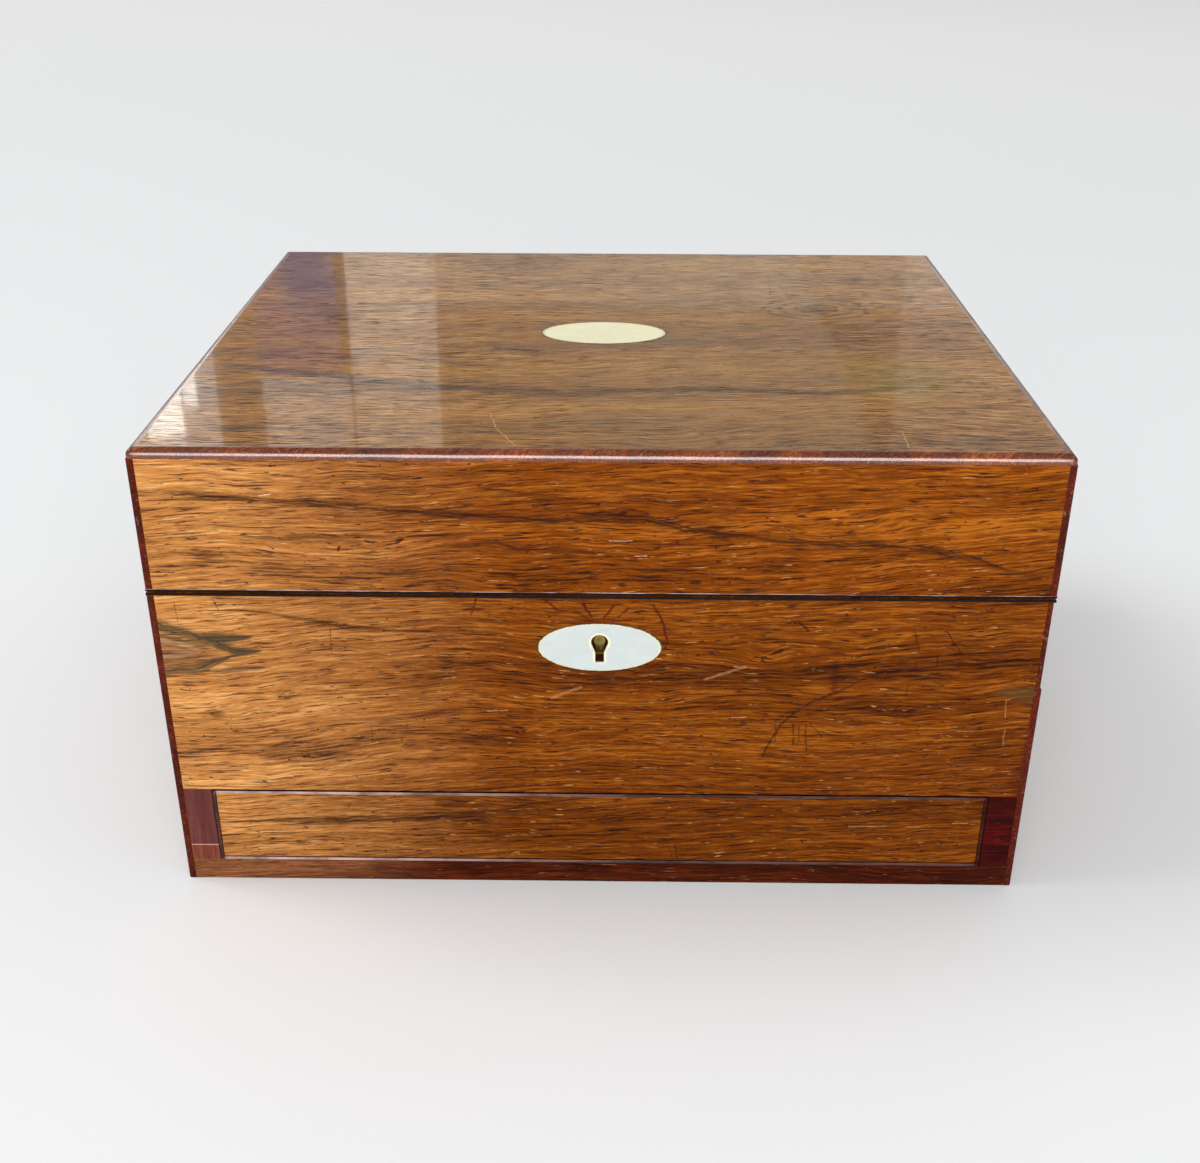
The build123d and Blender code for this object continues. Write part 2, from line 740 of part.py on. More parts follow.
def lid_back_rail():
    """The lid's back rail, with the hinges let in."""
    rail = cross_board(inner_y, board_y, lid_boards, ceiling)
    for recess in hinge_recesses():
        rail -= recess
    for place in lid_hinge_screw_places():
        rail -= place * screw(grow=PIN_FIT)
    return rail


def link_seat():
    """The seat in the lid's rim for the link plate."""
    half = LOCK_WIDTH / 2 + LET_IN
    front = -inner_y - SELVEDGE_WIDTH - LET_IN
    return block(-half, half, front, -inner_y, lid_bottom, lid_bottom + SELVEDGE)


def lid_top_board():
    """The lid's top, rebated round its upper edge for the moulding."""
    lower = centred(board_x, board_y, ceiling, moulding_low) - corner_rebates(ceiling, moulding_low)
    half_x, half_y = half_w - MOULDING_WIDTH, half_d - MOULDING_WIDTH
    return lower + centred(half_x, half_y, moulding_low, CASE_HEIGHT - VENEER)


def lid_top_veneer():
    """The veneer on the lid, cut out for the pearl plate."""
    low = CASE_HEIGHT - VENEER
    sheet = centred(half_w - MOULDING_WIDTH, half_d - MOULDING_WIDTH, low, CASE_HEIGHT)
    return sheet - Pos(0, 0, low) * extrude(cartouche_oval(), amount=VENEER)


def lid_cartouche():
    """The pearl oval in the middle of the lid."""
    return Pos(0, 0, CASE_HEIGHT - VENEER) * extrude(cartouche_oval(), amount=VENEER + INLAY_PROUD)


def lid_moulding():
    """The rounded moulding round the lid's top edge, mitred and worn round at the corners."""
    section = strip_section(MOULDING_WIDTH, moulding_low, CASE_HEIGHT)
    arris = section.vertices().sort_by(Axis.X)[:2].sort_by(Axis.Y)[-1]
    strips = mitred_strips(fillet(arris, MOULDING_ROUND), half_w, half_d, MOULDING_WIDTH)
    plan = extrude(RectangleRounded(CASE_WIDTH, CASE_DEPTH, MOULDING_CORNER), amount=CASE_HEIGHT)
    return [strip & plan for strip in strips]


def lid_front_veneer():
    """The veneer on the front of the lid."""
    return block(-edging_x, edging_x, -half_d, -board_y, lid_boards, moulding_low)


def lid_side_veneers():
    """The veneers on the sides and the back of the lid."""
    side = block(board_x, half_w, -edging_y, edging_y, lid_boards, moulding_low)
    back = block(-edging_x, edging_x, board_y, half_d, lid_boards, moulding_low)
    for recess in hinge_recesses():
        back -= recess
    return both_sides(side) + [back]


def lid_rim_veneer():
    """Mitred facings on the lower edges of the lid."""
    width = VENEER + WALL
    strips = mitred_strips(strip_section(width, lid_bottom, lid_boards), half_w, half_d, width)
    cuts = [link_seat()] + hinge_recesses()
    return [strip - cuts for strip in strips]


def lid_lining():
    """Velvet on card inside the lid: the panel over the mirror and four side strips."""
    panel = centred(inner_x, inner_y, mirror_top, ceiling)
    section = strip_section(LINING, lid_boards, mirror_top)
    return [panel] + mitred_strips(section, inner_x, inner_y, LINING)


def mirror_frame():
    """The mirror's mitred frame, bevelled towards the glass and rebated behind it."""
    lip_high = mirror_low + MIRROR_THICK - GLASS - GLASS_BACK - RUN_GAP
    glass_edge = MIRROR_FRAME - MIRROR_LIP
    outline = Polyline(
        (0, mirror_low),
        (MIRROR_FRAME - MIRROR_BEVEL, mirror_low),
        (MIRROR_FRAME, mirror_low + MIRROR_BEVEL),
        (MIRROR_FRAME, lip_high),
        (glass_edge, lip_high),
        (glass_edge, mirror_top),
        (0, mirror_top),
        close=True,
    )
    return mitred_strips(make_face(outline), mirror_x, mirror_y, MIRROR_FRAME)


def mirror_pane(low, high):
    """A sheet that fits the rebate of the mirror's frame."""
    edge = MIRROR_FRAME - MIRROR_LIP + LET_IN
    return centred(mirror_x - edge, mirror_y - edge, low, high)


def mirror_glass():
    low = mirror_low + MIRROR_THICK - GLASS - GLASS_BACK - RUN_GAP
    return mirror_pane(low, low + GLASS)


def mirror_back():
    return mirror_pane(mirror_top - GLASS_BACK, mirror_top)


def mirror_keepers():
    """The block that carries the turn button, and the lipped fillet that holds the back edge."""
    half = KEEPER_WIDTH / 2
    front = button_y - KEEPER_DEPTH / 2
    button_block = block(-half, half, front, front + KEEPER_DEPTH, mirror_low, mirror_top)
    button_block -= upright(BUTTON_PIVOT + PIN_FIT, 0, button_y, mirror_low, mirror_top)
    edge = mirror_y + RUN_GAP
    lip_high = mirror_low - RUN_GAP
    lip = block(-half, half, edge - MIRROR_LIP, edge + KEEPER_DEPTH, lip_high - BUTTON_THICK, lip_high)
    post = block(-half, half, edge, edge + KEEPER_DEPTH, lip_high, mirror_top)
    return [button_block, lip + post]


def mirror_button():
    """The turn button that holds the mirror's front edge, with its pivot."""
    high = mirror_low - RUN_GAP
    low = high - BUTTON_THICK
    reach = -mirror_y + BUTTON_BITE - button_y
    back = BUTTON_LENGTH - reach
    outline = SlotOverall(BUTTON_LENGTH, BUTTON_WIDTH, rotation=90)
    plate = Pos(0, button_y + (reach - back) / 2, low) * extrude(outline, amount=BUTTON_THICK)
    return plate + upright(BUTTON_PIVOT, 0, button_y, high, mirror_top - RUN_GAP)


def tails(x0, x1, root, end, low, high):
    """A row of dovetails up the end of a drawer side, widening from root to end."""
    pitch = (high - low) / TAILS
    half = pitch * TAIL_SHARE / 2
    neck = half - abs(end - root) * TAIL_SLOPE
    shapes = []
    for i in range(TAILS):
        middle = low + (i + 0.5) * pitch
        outline = Polyline(
            (root, middle - neck),
            (end, middle - half),
            (end, middle + half),
            (root, middle + neck),
            close=True,
        )
        face = Pos(x0, 0, 0) * (Plane.YZ * make_face(outline))
        shapes.append(extrude(face, amount=x1 - x0, dir=(1, 0, 0)))
    return shapes


def front_tails():
    """The half-blind dovetails of the right-hand drawer side."""
    end = drawer_face + DOVETAIL_LAP
    return tails(drawer_in_x, drawer_x, drawer_inner, end, drawer_low, drawer_side_high)


def back_tails():
    """The through dovetails at the back of the right-hand drawer side."""
    root = drawer_end - DRAWER_BACK
    return tails(drawer_in_x, drawer_x, root, drawer_end, panel_high, drawer_side_high)


def drawer_front():
    """The drawer's front: rebated for the bead, socketed for the sides and bored for the pin."""
    board = block(-drawer_x, drawer_x, drawer_face, drawer_inner, drawer_low, drawer_high)
    bead_back = -half_d - BEAD_PROUD + BEAD_DEPTH
    in_x = drawer_x - BEAD_WIDTH
    border = block(-drawer_x, drawer_x, drawer_face, bead_back, drawer_low, drawer_high)
    border -= block(-in_x, in_x, drawer_face, bead_back, drawer_low + BEAD_WIDTH, drawer_high - BEAD_WIDTH)
    board -= border
    for tail in front_tails():
        board -= both_sides(tail)
    groove = drawer_in_x + DRAWER_GROOVE
    board -= block(-groove, groove, drawer_inner - DRAWER_GROOVE, drawer_inner, panel_low, panel_high)
    bore_low = drawer_high - PIN_TRAVEL - 2 * RUN_GAP
    board -= upright(PIN_RADIUS + RUN_GAP, pin_x, pin_y, bore_low, drawer_high)
    return board - upright(BUSH_RADIUS, pin_x, pin_y, drawer_high - BUSH_HEIGHT, drawer_high)


def drawer_sides():
    """The drawer's sides with their dovetails, grooved for the base panel."""
    root = drawer_end - DRAWER_BACK
    side = block(drawer_in_x, drawer_x, drawer_inner, root, drawer_low, drawer_side_high)
    side += block(drawer_in_x, drawer_x, root, drawer_end, drawer_low, panel_high)
    side += front_tails()
    side += back_tails()
    groove_end = drawer_inner - DRAWER_GROOVE
    side -= block(drawer_in_x, drawer_in_x + DRAWER_GROOVE, groove_end, drawer_end, panel_low, panel_high)
    return both_sides(side)


def drawer_back():
    """The drawer's back, cut through for the dovetails, standing on the base panel."""
    board = block(-drawer_x, drawer_x, drawer_end - DRAWER_BACK, drawer_end, panel_high, drawer_side_high)
    for tail in back_tails():
        board -= both_sides(tail)
    return board


def drawer_bottom():
    """The base panel, slid into its grooves from the back."""
    half = drawer_in_x + DRAWER_GROOVE
    return block(-half, half, drawer_inner - DRAWER_GROOVE, drawer_end, panel_low, panel_high)


def drawer_front_veneer():
    """The veneer inside the drawer's bead."""
    half = drawer_x - BEAD_WIDTH
    return block(-half, half, -half_d, drawer_face, drawer_low + BEAD_WIDTH, drawer_high - BEAD_WIDTH)


def drawer_bead():
    """The mitred bead round the drawer front, a little proud and rounded on its face."""
    height = drawer_high - drawer_low
    nose = Pos(BEAD_WIDTH / 2, BEAD_DEPTH / 2) * Rectangle(BEAD_WIDTH, BEAD_DEPTH)
    section = fillet(nose.vertices().sort_by(Axis.Y)[-2:], BEAD_WIDTH / 3)
    strips = mitred_strips(section, drawer_x, height / 2, BEAD_WIDTH)
    face_back = -half_d - BEAD_PROUD + BEAD_DEPTH
    return [Pos(0, face_back, drawer_low + height / 2) * Rot(90, 0, 0) * strip for strip in strips]


def drawer_lining():
    """Velvet on the drawer's floor."""
    half = drawer_in_x - LET_IN
    back = drawer_end - DRAWER_BACK - LET_IN
    return block(-half, half, drawer_inner + LET_IN, back, panel_high, panel_high + FLOOR_LINING)


def drawer_dividers():
    """A cross divider and a short one in front of it."""
    low = panel_high + FLOOR_LINING
    high = low + DIVIDER_HEIGHT
    front = DRAWER_DIVIDE - DIVIDER / 2
    cross = block(-drawer_in_x, drawer_in_x, front, front + DIVIDER, low, high)
    short = block(-DIVIDER / 2, DIVIDER / 2, drawer_inner, front, low, high)
    return [cross, short]


def floor_lining():
    """Velvet on card over the dust board."""
    return centred(inner_x, inner_y, floor, bearer_low)


def tray_bearers():
    """Lining boards round the compartment that carry the tray."""
    return mitred_strips(strip_section(BEARER, bearer_low, bearer_top), inner_x, inner_y, BEARER)


def tray_walls():
    """The tray's mitred walls, rebated for the base and rounded along the top."""
    outline = strip_section(TRAY_WALL, tray_low, tray_high)
    section = fillet(outline.vertices().sort_by(Axis.Y)[-2:], TRAY_ROUND)
    rebate = Pos(TRAY_WALL - TRAY_REBATE / 2, tray_low + TRAY_BASE / 2) * Rectangle(TRAY_REBATE, TRAY_BASE)
    return mitred_strips(section - rebate, tray_x, tray_y, TRAY_WALL)


def tray_bottom():
    """The tray's base panel in its rebate."""
    inset = TRAY_WALL - TRAY_REBATE
    return centred(tray_x - inset, tray_y - inset, tray_low, tray_floor)


def side_well_depth():
    """The depth of each well at the sides of the tray, front to back."""
    return (2 * tray_in_y - (SIDE_WELLS - 1) * PARTITION) / SIDE_WELLS


def tray_partitions():
    """Two long partitions, the short ones that divide the side wells, and one in the middle."""
    half = MIDDLE_WELLS / 2
    long_one = block(half, half + PARTITION, -tray_in_y, tray_in_y, tray_floor, partition_top)
    shapes = both_sides(long_one)
    for i in range(1, SIDE_WELLS):
        y = -tray_in_y + i * (side_well_depth() + PARTITION)
        short = block(half + PARTITION, tray_in_x, y - PARTITION, y, tray_floor, partition_top)
        shapes += both_sides(short)
    y = MIDDLE_DIVIDE
    shapes.append(block(-half, half, y, y + PARTITION, tray_floor, partition_top))
    return shapes


def tray_lining():
    """Velvet on the floor of each well."""
    half = MIDDLE_WELLS / 2
    pads = []
    for i in range(SIDE_WELLS):
        y = -tray_in_y + i * (side_well_depth() + PARTITION)
        pad = block(half + PARTITION, tray_in_x, y, y + side_well_depth(), tray_floor, well_floor)
        pads += both_sides(pad)
    pads.append(block(-half, half, -tray_in_y, MIDDLE_DIVIDE, tray_floor, well_floor))
    pads.append(block(-half, half, MIDDLE_DIVIDE + PARTITION, tray_in_y, tray_floor, well_floor))
    return pads


def tray_pulls():
    """Two turned brass knobs on the long partitions, to lift the tray by."""
    top = partition_top + PULL_HEIGHT
    waist = partition_top + PULL_HEIGHT / 3
    outline = Polyline(
        (0, partition_top),
        (PULL_FOOT, partition_top),
        (PULL_NECK, waist),
        (PULL_RADIUS, waist + PULL_HEIGHT / 4),
        (PULL_RADIUS, top - PULL_CROWN),
        (PULL_RADIUS - PULL_CROWN, top),
        (0, top),
        close=True,
    )
    knob = revolve(Plane.XZ * make_face(outline), Axis.Z)
    return both_sides(Pos((MIDDLE_WELLS + PARTITION) / 2, 0, 0) * knob)


def pin_cushion():
    """The crowned velvet cushion in the middle back well."""
    width = MIDDLE_WELLS - 2 * CUSHION_GAP
    depth = tray_in_y - MIDDLE_DIVIDE - PARTITION - 2 * CUSHION_GAP
    cushion = extrude(RectangleRounded(width, depth, CUSHION_CORNER), amount=CUSHION_HEIGHT)
    cushion = fillet(cushion.edges().group_by(Axis.Z)[-1], CUSHION_CROWN)
    cushion = chamfer(cushion.edges().group_by(Axis.Z)[0], CUSHION_FOOT)
    y = (tray_in_y + MIDDLE_DIVIDE + PARTITION) / 2
    return Pos(0, y, well_floor) * cushion


def screws_at(places):
    return [place * screw() for place in places]


def pieces():
    """Every node's name with its solids."""
    case_screws = lock_screw_places() + base_hinge_screw_places() + [spring_screw_place()]
    return {
        "side_boards": side_boards(),
        "front_board": front_board(),
        "back_board": back_board(),
        "bottom_board": bottom_board(),
        "dust_board": dust_board(),
        "front_veneer": front_veneer(),
        "base_side_veneers": base_side_veneers(),
        "left_stile_facing": left_stile_facing(),
        "right_stile_facing": right_stile_facing(),
        "bottom_rail_veneer": bottom_rail_veneer(),
        "base_corner_edging": corner_edging(0, base_boards),
        "base_rim_veneer": base_rim_veneer(),
        "escutcheon": escutcheon(),
        "lock_case": lock_case(),
        "lock_cap": lock_cap(),
        "lock_drill_pin": lock_drill_pin(),
        "lock_bolt": lock_bolt(),
        "base_hinge_leaves": [hinge_leaf(x, False) for x in hinge_middles()],
        "hinge_pins": hinge_pins(),
        "case_screws": screws_at(case_screws),
        "floor_lining": floor_lining(),
        "tray_bearers": tray_bearers(),
        "pin_guide": bush(notch_floor, PIN_RADIUS + PIN_FIT),
        "release_pin": release_pin(),
        "drawer_spring": drawer_spring(),
        "lid_side_rails": lid_side_rails(),
        "lid_front_rail": lid_front_rail(),
        "lid_back_rail": lid_back_rail(),
        "lid_top_board": lid_top_board(),
        "lid_top_veneer": lid_top_veneer(),
        "lid_front_veneer": lid_front_veneer(),
        "lid_side_veneers": lid_side_veneers(),
        "lid_moulding": lid_moulding(),
        "lid_corner_edging": corner_edging(lid_boards, moulding_low),
        "lid_rim_veneer": lid_rim_veneer(),
        "lid_cartouche": lid_cartouche(),
        "link_plate": link_plate(),
        "lid_hinge_leaves": [hinge_leaf(x, True) for x in hinge_middles()],
        "lid_screws": screws_at(link_screw_places() + lid_hinge_screw_places()),
        "lid_lining": lid_lining(),
        "mirror_frame": mirror_frame(),
        "mirror_glass": mirror_glass(),
        "mirror_back": mirror_back(),
        "mirror_keepers": mirror_keepers(),
        "mirror_button": mirror_button(),
        "drawer_front": drawer_front(),
        "drawer_sides": drawer_sides(),
        "drawer_back": drawer_back(),
        "drawer_bottom": drawer_bottom(),
        "drawer_front_veneer": drawer_front_veneer(),
        "drawer_bead": drawer_bead(),
        "drawer_lining": drawer_lining(),
        "drawer_dividers": drawer_dividers(),
        "drawer_pin_bush": bush(drawer_high, PIN_RADIUS + RUN_GAP),
        "tray_walls": tray_walls(),
        "tray_bottom": tray_bottom(),
        "tray_partitions": tray_partitions(),
        "tray_lining": tray_lining(),
        "tray_pulls": tray_pulls(),
        "pin_cushion": pin_cushion(),
    }


def save(name, shapes):
    """Write one node's solids to its STEP file."""
    if not isinstance(shapes, list):
        shapes = [shapes]
    solids = [solid for shape in shapes for solid in shape.solids()]
    export_step(Compound(children=solids), f"parts/{name}.step")


def main():
    os.makedirs("parts", exist_ok=True)
    for name, shapes in pieces().items():
        save(name, shapes)


if __name__ == "__main__":
    main()
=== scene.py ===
import json
import math
from functools import partialmethod

import bmesh
import bpy
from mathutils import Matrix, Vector, noise

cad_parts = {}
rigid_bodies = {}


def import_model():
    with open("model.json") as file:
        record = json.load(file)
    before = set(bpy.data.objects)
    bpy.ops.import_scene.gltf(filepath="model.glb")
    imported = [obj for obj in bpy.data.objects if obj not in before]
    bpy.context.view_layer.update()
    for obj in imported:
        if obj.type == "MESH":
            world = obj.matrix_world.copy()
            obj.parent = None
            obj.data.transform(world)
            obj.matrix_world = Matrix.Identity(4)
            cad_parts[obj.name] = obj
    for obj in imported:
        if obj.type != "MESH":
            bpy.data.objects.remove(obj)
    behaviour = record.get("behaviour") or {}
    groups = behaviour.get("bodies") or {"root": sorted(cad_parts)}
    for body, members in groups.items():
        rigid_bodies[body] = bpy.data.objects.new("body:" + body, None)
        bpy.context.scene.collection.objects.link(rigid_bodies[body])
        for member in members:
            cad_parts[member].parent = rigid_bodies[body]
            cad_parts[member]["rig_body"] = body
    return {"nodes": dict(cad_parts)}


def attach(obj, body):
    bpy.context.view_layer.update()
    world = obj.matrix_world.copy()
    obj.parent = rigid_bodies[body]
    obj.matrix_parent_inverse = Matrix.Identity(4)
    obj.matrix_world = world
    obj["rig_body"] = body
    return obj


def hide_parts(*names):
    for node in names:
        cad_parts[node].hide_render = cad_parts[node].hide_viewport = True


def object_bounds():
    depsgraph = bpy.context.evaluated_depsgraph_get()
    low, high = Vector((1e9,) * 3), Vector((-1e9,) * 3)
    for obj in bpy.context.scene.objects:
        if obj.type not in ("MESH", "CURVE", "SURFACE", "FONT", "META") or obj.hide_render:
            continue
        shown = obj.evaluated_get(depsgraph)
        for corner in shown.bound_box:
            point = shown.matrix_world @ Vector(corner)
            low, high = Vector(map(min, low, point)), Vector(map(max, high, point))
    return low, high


bl_info = {
    "name": "Rosewood Vanity Box",
    "version": (1, 0, 0),
    "blender": (4, 5, 0),
    "location": "3D View > Sidebar > Vanity Box",
    "description": "Finishes the packed model of a rosewood veneered vanity box with a hinged lid",
    "category": "Object",
}

# Metres in the model's frame: +X to the right, +Y to the back, +Z up, and the front faces -Y.
# Tables of marks are in millimetres, seen square on: across the front in X and Z, or down on
# the lid in X and Y.

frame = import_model()
CAD_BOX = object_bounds()
MM = 0.001

# Places on the box in millimetres: the two sides of the saw cut, the rims' half depth, the top of
# the left stile's patch, the keyhole's bow and bit, the step in the right edging with the planes just
# inside its side and its front, the drawer bead's front and its end, the mirror's half width and half
# depth, and half the base front's width.
BASE_TOP, LID_BOTTOM = 119.15, 119.85
RIM_HALF_DEPTH = 127.0
PATCH_TOP = 15.2
BOW_HEIGHT, BOW_RADIUS, BIT_HALF_WIDTH, BIT_DROP = 101.65, 3.1, 1.7, 3.5
EDGING_STEP, EDGING_SIDE, EDGING_FRONT = 84.5, 151.5, -126.4
BEAD_FRONT, BEAD_END = -127.4, 138
GLASS_HALF_WIDTH, GLASS_HALF_DEPTH = 107.9, 82.9
FRONT_END = 153

# A vein that ends short of this distance from the middle runs out in a point.
TAPER_REACH = 151

# Two faces that meet at more than this angle meet in a sharp edge.
SHARP_ANGLE = math.radians(40)

# The pin cushion in millimetres: how far its cover starts inside its well, how far below its top,
# its corners and cells, the furthest that the stuffing pushes, its height at the seam and its crown.
CUSHION_INSET, CUSHION_DROP, CUSHION_CORNER, CUSHION_CELL = 2.2, 5.0, 4, 4
CUSHION_PUSH, CUSHION_SEAM, CUSHION_CROWN = 6, 12.5, 7.6
STUFFING_FRAMES = 20

# The camera's place in metres and its angles in degrees, as fitted to the photographed corners.
CAMERA_PLACE = (0.00461, -0.55793, 0.344)
CAMERA_ANGLES = (63.0606, -0.1675, 0.689)


def tone(red, green, blue):
    """A linear colour from the 0 to 255 values that a colour picker shows."""
    linear = []
    for value in (red, green, blue):
        share = value / 255
        linear.append(share / 12.92 if share <= 0.04045 else ((share + 0.055) / 1.055) ** 2.4)
    return (*linear, 1.0)


def shaded(colour, depth=1.0):
    """A setting's colour as a tone. A depth under 1 darkens it, and a depth over 1 brightens it."""
    return (*(min(value * depth, 1.0) for value in colour), 1.0)


MARK_COLOURS = {
    "dark": tone(46, 18, 8), "red": tone(78, 14, 8), "light": tone(236, 178, 122),
    # The near-black mark colour is painted shade, used inside the keyhole.
    "pink": tone(240, 200, 176), "olive": tone(72, 62, 34), "grime": tone(10, 8, 6),
    "slate": tone(58, 52, 40), "moss": tone(128, 112, 30)}

# Marks on the polished faces: (kind, colour, strength, sizes ...). A vein has a width, how much
# its edge frays, and its points. A scratch has a width and its points. A blot has a centre, its
# half sizes and how much its edge frays. Arcs have a centre, half sizes and a count of lines.
LID_FRONT_MARKS = (
    ("vein", "dark", 0.85, 1.5, 0.6, ((-152, 155.5), (-109, 153.7), (-59, 149.8), (-30, 147.9),
        (-9, 147.0), (12, 148.4), (19, 146.6), (40.5, 143.1), (52, 141.8), (73, 139.4), (101, 138.2),
        (118, 135.5), (129, 131.9), (141, 128.7), (152, 126.5))),
    ("vein", "dark", 0.6, 0.9, 0.7, ((-40, 158.4), (-34, 157.8), (-17.5, 155.5), (-8, 155.0))),
    ("vein", "dark", 0.6, 1.1, 0.7, ((-56, 137.5), (-49, 137.7), (-38, 138.5), (-25, 136.4), (-2, 135.9),
        (6, 136))),
    ("blot", "dark", 0.7, (-129, 133), (6, 2.6), 0.5),
    ("blot", "dark", 0.5, (-135, 130), (6, 1.8), 0.5),
    ("blot", "dark", 0.6, (-92, 140.0), (20, 2.4), 0.6),
    ("blot", "dark", 0.8, (31.7, 124.7), (2.2, 1.3), 0.4),
    ("blot", "dark", 0.8, (7.4, 123.8), (1.8, 1.1), 0.4),
    ("blot", "dark", 0.6, (106.6, 163.1), (2.4, 0.9), 0.4),
    ("blot", "dark", 0.7, (102, 155.1), (2.6, 0.9), 0.4),
    ("blot", "dark", 0.6, (136.5, 154.3), (1.6, 1.1), 0.4),
    ("scratch", "pink", 0.7, 0.35, ((-110.5, 155.2), (-106.8, 155.8))),
    ("scratch", "pink", 0.5, 0.3, ((3.0, 139.9), (10.5, 140.0))),
    ("scratch", "pink", 0.5, 0.3, ((11.6, 134.5), (15.5, 134.6))),
)
